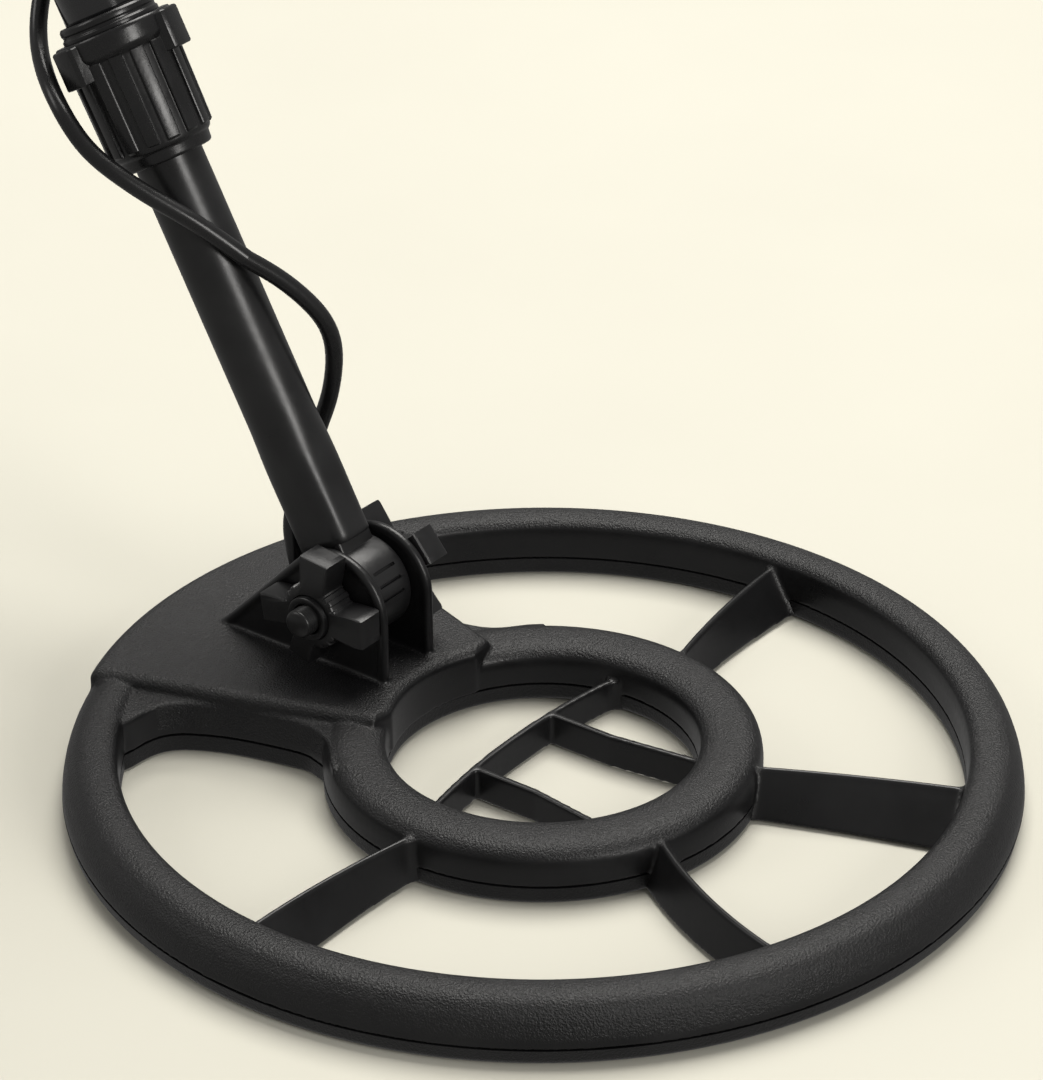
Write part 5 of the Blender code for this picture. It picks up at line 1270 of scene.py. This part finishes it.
def seg_bar(x0, y0, x1, y1, t_=1.5, z0_=18.4, z1_=18.55):
    d = Vector((x1 - x0, y1 - y0))
    u_, v_ = d.normalized(), Vector((-d.y, d.x)).normalized()
    a, b = Vector((x0, y0)) + u_ * 0.25, Vector((x1, y1)) - u_ * 0.25
    h_ = t_ / 2
    return plate([tuple(a), tuple(a + u_ * h_ - v_ * h_), tuple(b - u_ * h_ - v_ * h_), tuple(b), tuple(b - u_ * h_ + v_ * h_), tuple(a + u_ * h_ + v_ * h_)], z0_, z1_)


DIG = {0: "abcdef", 2: "abged", 4: "fgbc", 7: "abc", 5: "afgcd", 8: "abcdefg"}


def digit(n_, x, y, w_, h_):
    s_ = {"a": (x, y + h_, x + w_, y + h_), "b": (x + w_, y + h_ / 2, x + w_, y + h_), "c": (x + w_, y, x + w_, y + h_ / 2), "d": (x, y, x + w_, y),
          "e": (x, y, x, y + h_ / 2), "f": (x, y + h_ / 2, x, y + h_), "g": (x, y + h_ / 2, x + w_, y + h_ / 2)}
    return [seg_bar(*s_[c]) for c in DIG[n_]]


segs_ = digit(4, -9.0, 16.5, 6.6, 13.0) + digit(2, 2.0, 16.5, 6.6, 13.0)
for k in range(12):
    x = -24.2 + 4.1 * k
    segs_.append(plate(rrect(3.1, 2.2, 0.3, 2, x + 1.6, 36.2), 18.4, 18.55))
for k in range(5):
    segs_.append(plate(rrect(3.2, 1.5, 0.3, 2, -21.5, 15.5 + 3.1 * k), 18.4, 18.55))
for k in range(4):
    segs_.append(plate(rrect(1.6, 3.4, 0.25, 2, 17.0 + 2.3 * k, 28.5), 18.4, 18.55))
segs_.append(boolean(plate(rrect(11.4, 5.4, 0.6, 2, 20.4, 28.5), 18.4, 18.55), [plate(rrect(10.4, 4.4, 0.4, 2, 20.4, 28.5), 18, 19)], "DIFFERENCE"))
for k in range(3):
    segs_.append(boolean(plate(arc(20.5, 17.0, 2.2 + 2.0 * k, -50, 50, 10) + arc(20.5, 17.0, 1.3 + 2.0 * k, 50, -50, 10), 18.4, 18.55), [], "UNION"))
sgm = joined(*segs_)
sgm.transform(M_BOX)
put("display_segments", sgm, "root", SEGM, (), smooth=30)

# buttons with raised marks
for nm, (x, y, r) in BTN.items():
    prof = rounded([(0, 24.35), (r - 2.2, 24.45), (r - 0.6, 24.3), (r, 23.4), (r, 14.0), (r + 1.6, 14.0), (r + 1.6, 12.3), (0, 12.3)], 0.5, 3, closed=False)
    bt = turned(prof[::-1], 64, closed=False)
    marks = []
    if nm == "power_button":
        marks = [boolean(plate(arc(0, 0, 2.9, -50, 230, 24) + arc(0, 0, 2.2, 230, -50, 24), 24.0, 24.7), []), block(-0.35, 0.35, 0.6, 3.4, 24.0, 24.7)]
    elif nm == "mode_button":
        marks = [block(-2.2, 2.2, k * 1.4 - 0.3, k * 1.4 + 0.3, 24.0, 24.7) for k in (-1, 0, 1)]
    elif nm == "pinpoint_button":
        marks = [turned([(2.0, 24.0), (2.6, 24.0), (2.6, 24.7), (2.0, 24.7)], 32), turned([(0, 24.0), (0.7, 24.0), (0.7, 24.7), (0, 24.7)], 20, closed=False)]
    elif nm == "minus_button":
        marks = [block(-2.2, 2.2, -0.4, 0.4, 24.0, 24.7)]
    else:
        marks = [boolean(block(-2.2, 2.2, -0.4, 0.4, 24.0, 24.7), [block(-0.4, 0.4, -2.2, 2.2, 24.0, 24.7)])]
    mk = joined(*marks)
    bt.transform(M_BOX @ T(x, y, 0))
    mk.transform(M_BOX @ T(x, y, 0))
    put(nm + "_key", bt, nm, BUTTON_R if nm == "power_button" else BUTTON, [nm], smooth=50)
    put(nm + "_mark", mk, nm, MARK, (), smooth=30)

# battery door: hinged at its lower edge, with grip lines
DW, DH, DY = 62.0, 58.0, -24.0
door = plate(rrect(DW, DH, 4, 6, 0, DY), -25.6, -23.3, None, bottom=0.8, segs=3)
door = boolean(door, [block(-12 + 0, 12, DY + 16 + 2.4 * k, DY + 17.2 + 2.4 * k, -26.4, -24.9, bev=0.3, segs=2) for k in range(4)], "DIFFERENCE")
door = bevelled(door, 0.2, 2, 40)
door.transform(M_BOX)
put("door", door, "battery_door", CASE, ["battery_door"], smooth=35)

def cross_screw(z_top, r_head, r_shank, z_tip, h_head, M):
    """Pan head with a cross recess; the shank has a rolled thread."""
    prof = [(0, z_top), (r_head * 0.55, z_top - 0.1), (r_head * 0.92, z_top - h_head * 0.55), (r_head, z_top - h_head), (r_shank, z_top - h_head)]
    z_ = z_top - h_head
    while z_ - 0.9 > z_tip + 0.6:
        prof += [(r_shank, z_ - 0.15), (r_shank - 0.25, z_ - 0.45), (r_shank, z_ - 0.75)]
        z_ -= 0.9
    prof += [(r_shank - 0.2, z_tip + 0.3), (0, z_tip)]
    me = turned(prof[::-1], 36, closed=False)
    me = boolean(me, [block(-0.28, 0.28, -r_head * .62, r_head * .62, z_top - h_head * 0.8, z_top + 1), block(-r_head * .62, r_head * .62, -0.28, 0.28, z_top - h_head * 0.8, z_top + 1)], "DIFFERENCE")
    me.transform(M)
    return me


for i, (x, y) in enumerate([(sx * 39.0, sy * 52.0) for sx in (-1, 1) for sy in (-1, 1)]):
    put("case_screw_%s_fine" % "abcd"[i], cross_screw(2.0, 3.2, 1.5, -10.0, 1.7, M_BOX @ T(x, y, -BD / 2) @ R(180, "Y") @ R(17 + 40 * i, "Z")), "root", STEEL, ["case_screw_" + "abcd"[i]], smooth=35)
for nm, x in (("left", -19.0), ("right", 19.0)):
    # head down, below the bracket flange
    put("bracket_screw_%s_fine" % nm, cross_screw(9.2, 3.0, 1.5, -4.6, 1.6, M_BOX @ T(x, -61.0, 0) @ R(90, "X")), "root", STEEL, ["bracket_screw_" + nm], smooth=35)

sock = turned(rounded([(4.1, 1.6), (4.1, -9.0), (1.9, -9.0), (1.9, 1.6)], 0.25, 2), 56, M_BOX @ T(48, 6, -8) @ R(90, "Y"))
put("phone_socket", sock, "root", NUTP, ["headphone_socket"], smooth=40)
cov = block(-2.2, 0, -17.0, -0.2, -6.5, 6.5, bev=0.9, segs=3)
cov = boolean(cov, [turned([(0, -2.2), (3.6, -2.2), (3.4, -3.0), (1.5, -3.1), (0, -3.1)], 32, T(0, -9, 0) @ R(90, "Y"), closed=False)][:0])
cov = boolean(cov, [block(-0.3, 0.5, -15.8, -15.0, -4.5, 4.5, bev=0.2, segs=2), block(-0.3, 0.5, -14.2, -13.4, -4.5, 4.5, bev=0.2, segs=2)], "DIFFERENCE")
cov.transform(M_BOX @ T(52.4, 15, -8))
put("socket_flap", cov, "socket_cover", RUBBER, ["socket_cover"], smooth=45)

cs = turned(rounded([(7.0, 1.0), (7.0, -8.0), (4.4, -8.0), (4.4, 1.0)], 0.3, 2), 56, M_PLUG)
put("cable_socket_ring", cs, "root", NUTP, ["cable_socket"], smooth=40)
pb = turned(rounded([(0, -6.0), (4.0, -6.0), (4.0, 1.6), (6.2, 1.6), (6.2, 17.0), (4.6, 18.8), (4.3, 20.4), (3.8, 20.8), (4.1, 21.6), (4.1, 22.9), (3.6, 23.4), (3.9, 24.2), (3.9, 25.4), (3.4, 25.9), (3.6, 26.8), (3.5, 28.6), (3.1, 30.0), (0, 30.0)][::-1], 0.3, 2, closed=False), 56, M_PLUG, closed=False)
put("cable_plug_body", pb, "root", NUTP, ["cable_plug"], smooth=40)


def knurl(a, r, z):
    return -0.42 * (0.5 + 0.5 * math.cos(a * 30)) ** 2 if r > 8.9 and 4.4 < z < 13.4 else 0.0


rg = turned(rounded([(8.5, 15.0), (9.2, 13.8), (9.2, 13.2), (9.2, 10.5), (9.2, 7.0), (9.2, 4.6), (9.2, 3.9), (8.5, 2.6), (6.6, 2.6), (6.6, 15.0)][::-1], 0.3, 2), 240, None, wob=knurl)
rg.transform(M_PLUG)
put("plug_locking_ring", rg, "plug_ring", NUTP, ["plug_ring"], smooth=40)

# bracket: saddle on the tube's bend, screwed to the box from below
bk = boolean(block(-22.5, 22.5, -67.2, -61.4, -13, 13, bev=1.5, segs=3), [block(-15, 15, -82, -63.5, -12, 12, bev=2.2, segs=3)])
for sgn in (-1, 1):
    bk = boolean(bk, [plate([(sgn * 14.5, -67.0), (sgn * 21.0, -67.0), (sgn * 14.5, -77.0)][::sgn], -1.6, 1.6, T(0, 0, 9.0)), plate([(sgn * 14.5, -67.0), (sgn * 21.0, -67.0), (sgn * 14.5, -77.0)][::sgn], -1.6, 1.6, T(0, 0, -9.0))])
bk.transform(M_BOX)
grow = sweep([(q_[1], 0, q_[0]) for q_ in SP], 13.5, 64, M=M_SHAFT)
bk = boolean(bk, [grow] + [hole(1.9, -30, 30, 24, M_BOX @ T(x, -61, 0) @ R(90, "X")) for x in (-19.0, 19.0)], "DIFFERENCE")
bk = bevelled(bk, 0.35, 2, 40)
put("bracket", bk, "root", NUTP, ["box_bracket"], smooth=35)

# inside parts keep their shape and take real edges
for nm, mt, bv in (("battery_left", BATT, 1.6), ("battery_right", BATT, 1.6), ("circuit_board", PCB, 0.15), ("speaker", SPK, 0.4), ("button_leaf_spring", STEEL, 0.12),
                   ("transmit_winding", COPPER, 0), ("receive_winding", COPPER, 0)):
    o = bpy.data.objects[nm]
    o.data.materials.clear()
    o.data.materials.append(mt)
    w_ = o.modifiers.new("weld", "WELD")
    w_.merge_threshold = 1e-6
    if bv:
        b_ = o.modifiers.new("edge", "BEVEL")
        b_.width, b_.segments, b_.limit_method, b_.angle_limit = bv * S, 3, "ANGLE", math.radians(35)
        b_.use_clamp_overlap = True
    else:
        b_ = o.modifiers.new("round", "SUBSURF")
        b_.levels = b_.render_levels = 1
    o.data.shade_smooth()

# ================================================================ camera, floor, light
cam_data = bpy.data.cameras.new("camera")
cam = bpy.data.objects.new("camera", cam_data)
sc.collection.objects.link(cam)
cam_data.lens, cam_data.sensor_width, cam_data.sensor_fit = 131.917, 36.0, "AUTO"
cam_data.clip_start, cam_data.clip_end = 0.01, 50
right, up_, back = Vector((0.80239, 0.59677, -0.00597)), Vector((-0.28584, 0.39306, 0.87396)), Vector((0.52390, -0.69955, 0.48597))
rot = Matrix((right, up_, back)).transposed()
cam.matrix_world = Matrix.Translation(Vector((0.52802 + OX * S, -0.71392, 0.56712))) @ rot.to_4x4()
sc.camera = cam

sc.view_settings.view_transform = "Standard"
sc.view_settings.look = "None"
m, t, b = nt("paper_floor")
fn = noise_of(t, 6.0, 3)
t.links.new(mixc(t, ranged(t, fn, 0.3, 0.7, 0, 1), (0.583, 0.568, 0.494), (0.600, 0.586, 0.510)), b.inputs["Base Color"])
b.inputs["Roughness"].default_value = 0.9
b.inputs["Specular IOR Level"].default_value = 0.15
# the paper stays pale far from the lamps
far = t.nodes.new("ShaderNodeVectorMath")
far.operation = "LENGTH"
t.links.new(t.nodes.new("ShaderNodeTexCoord").outputs["Object"], far.inputs[0])
b.inputs["Emission Color"].default_value = (1.0, 0.965, 0.83, 1)
t.links.new(ranged(t, far.outputs["Value"], 0.85, 3.0, 0.0, 0.60), b.inputs["Emission Strength"])
FLOOR = m
bm = bmesh.new()
bmesh.ops.create_grid(bm, x_segments=2, y_segments=2, size=30.0)
floor = bpy.data.objects.new("floor", from_bm(bm))
floor.location.z = -0.0003
floor.data.materials.append(FLOOR)
sc.collection.objects.link(floor)
floor.visible_glossy = False  # reflections see the grey room, not the paper

world = bpy.data.worlds.new("studio")
sc.world = world
world.use_nodes = True
wt = world.node_tree
bg = wt.nodes["Background"]
bg.inputs["Color"].default_value = (1.0, 0.985, 0.96, 1)
bg.inputs["Strength"].default_value = 0.27
sky = wt.nodes.new("ShaderNodeBackground")
sky.inputs["Color"].default_value = (1.0, 0.965, 0.83, 1)
sky.inputs["Strength"].default_value = 0.74
pick = wt.nodes.new("ShaderNodeMixShader")
wt.links.new(wt.nodes.new("ShaderNodeLightPath").outputs["Is Camera Ray"], pick.inputs[0])
wt.links.new(bg.outputs[0], pick.inputs[1])
wt.links.new(sky.outputs[0], pick.inputs[2])
wt.links.new(pick.outputs[0], wt.nodes["World Output"].inputs[0])


def area(name, loc, target, size, power, color=(1, 1, 1), size_y=None):
    l = bpy.data.lights.new(name, "AREA")
    l.shape = "RECTANGLE"
    l.size, l.size_y = size, size_y or size
    l.energy, l.color = power, color
    o = bpy.data.objects.new(name, l)
    o.location = loc
    o.rotation_mode = "QUATERNION"
    o.rotation_quaternion = (Vector(target) - Vector(loc)).to_track_quat("-Z", "Y")
    sc.collection.objects.link(o)
    return o


area("top", (-0.25, 0.75, 2.15), (-0.05, 0.1, 0.0), 1.6, 70, (1, 0.98, 0.94))
area("left", (-1.6, -1.4, 1.5), (0, 0, 0.1), 1.0, 9, (1, 0.98, 0.95))
area("right", (1.85, -0.40, 0.86), (-0.06, 0, 0.16), 0.55, 17, (1, 0.98, 0.95), size_y=1.0)
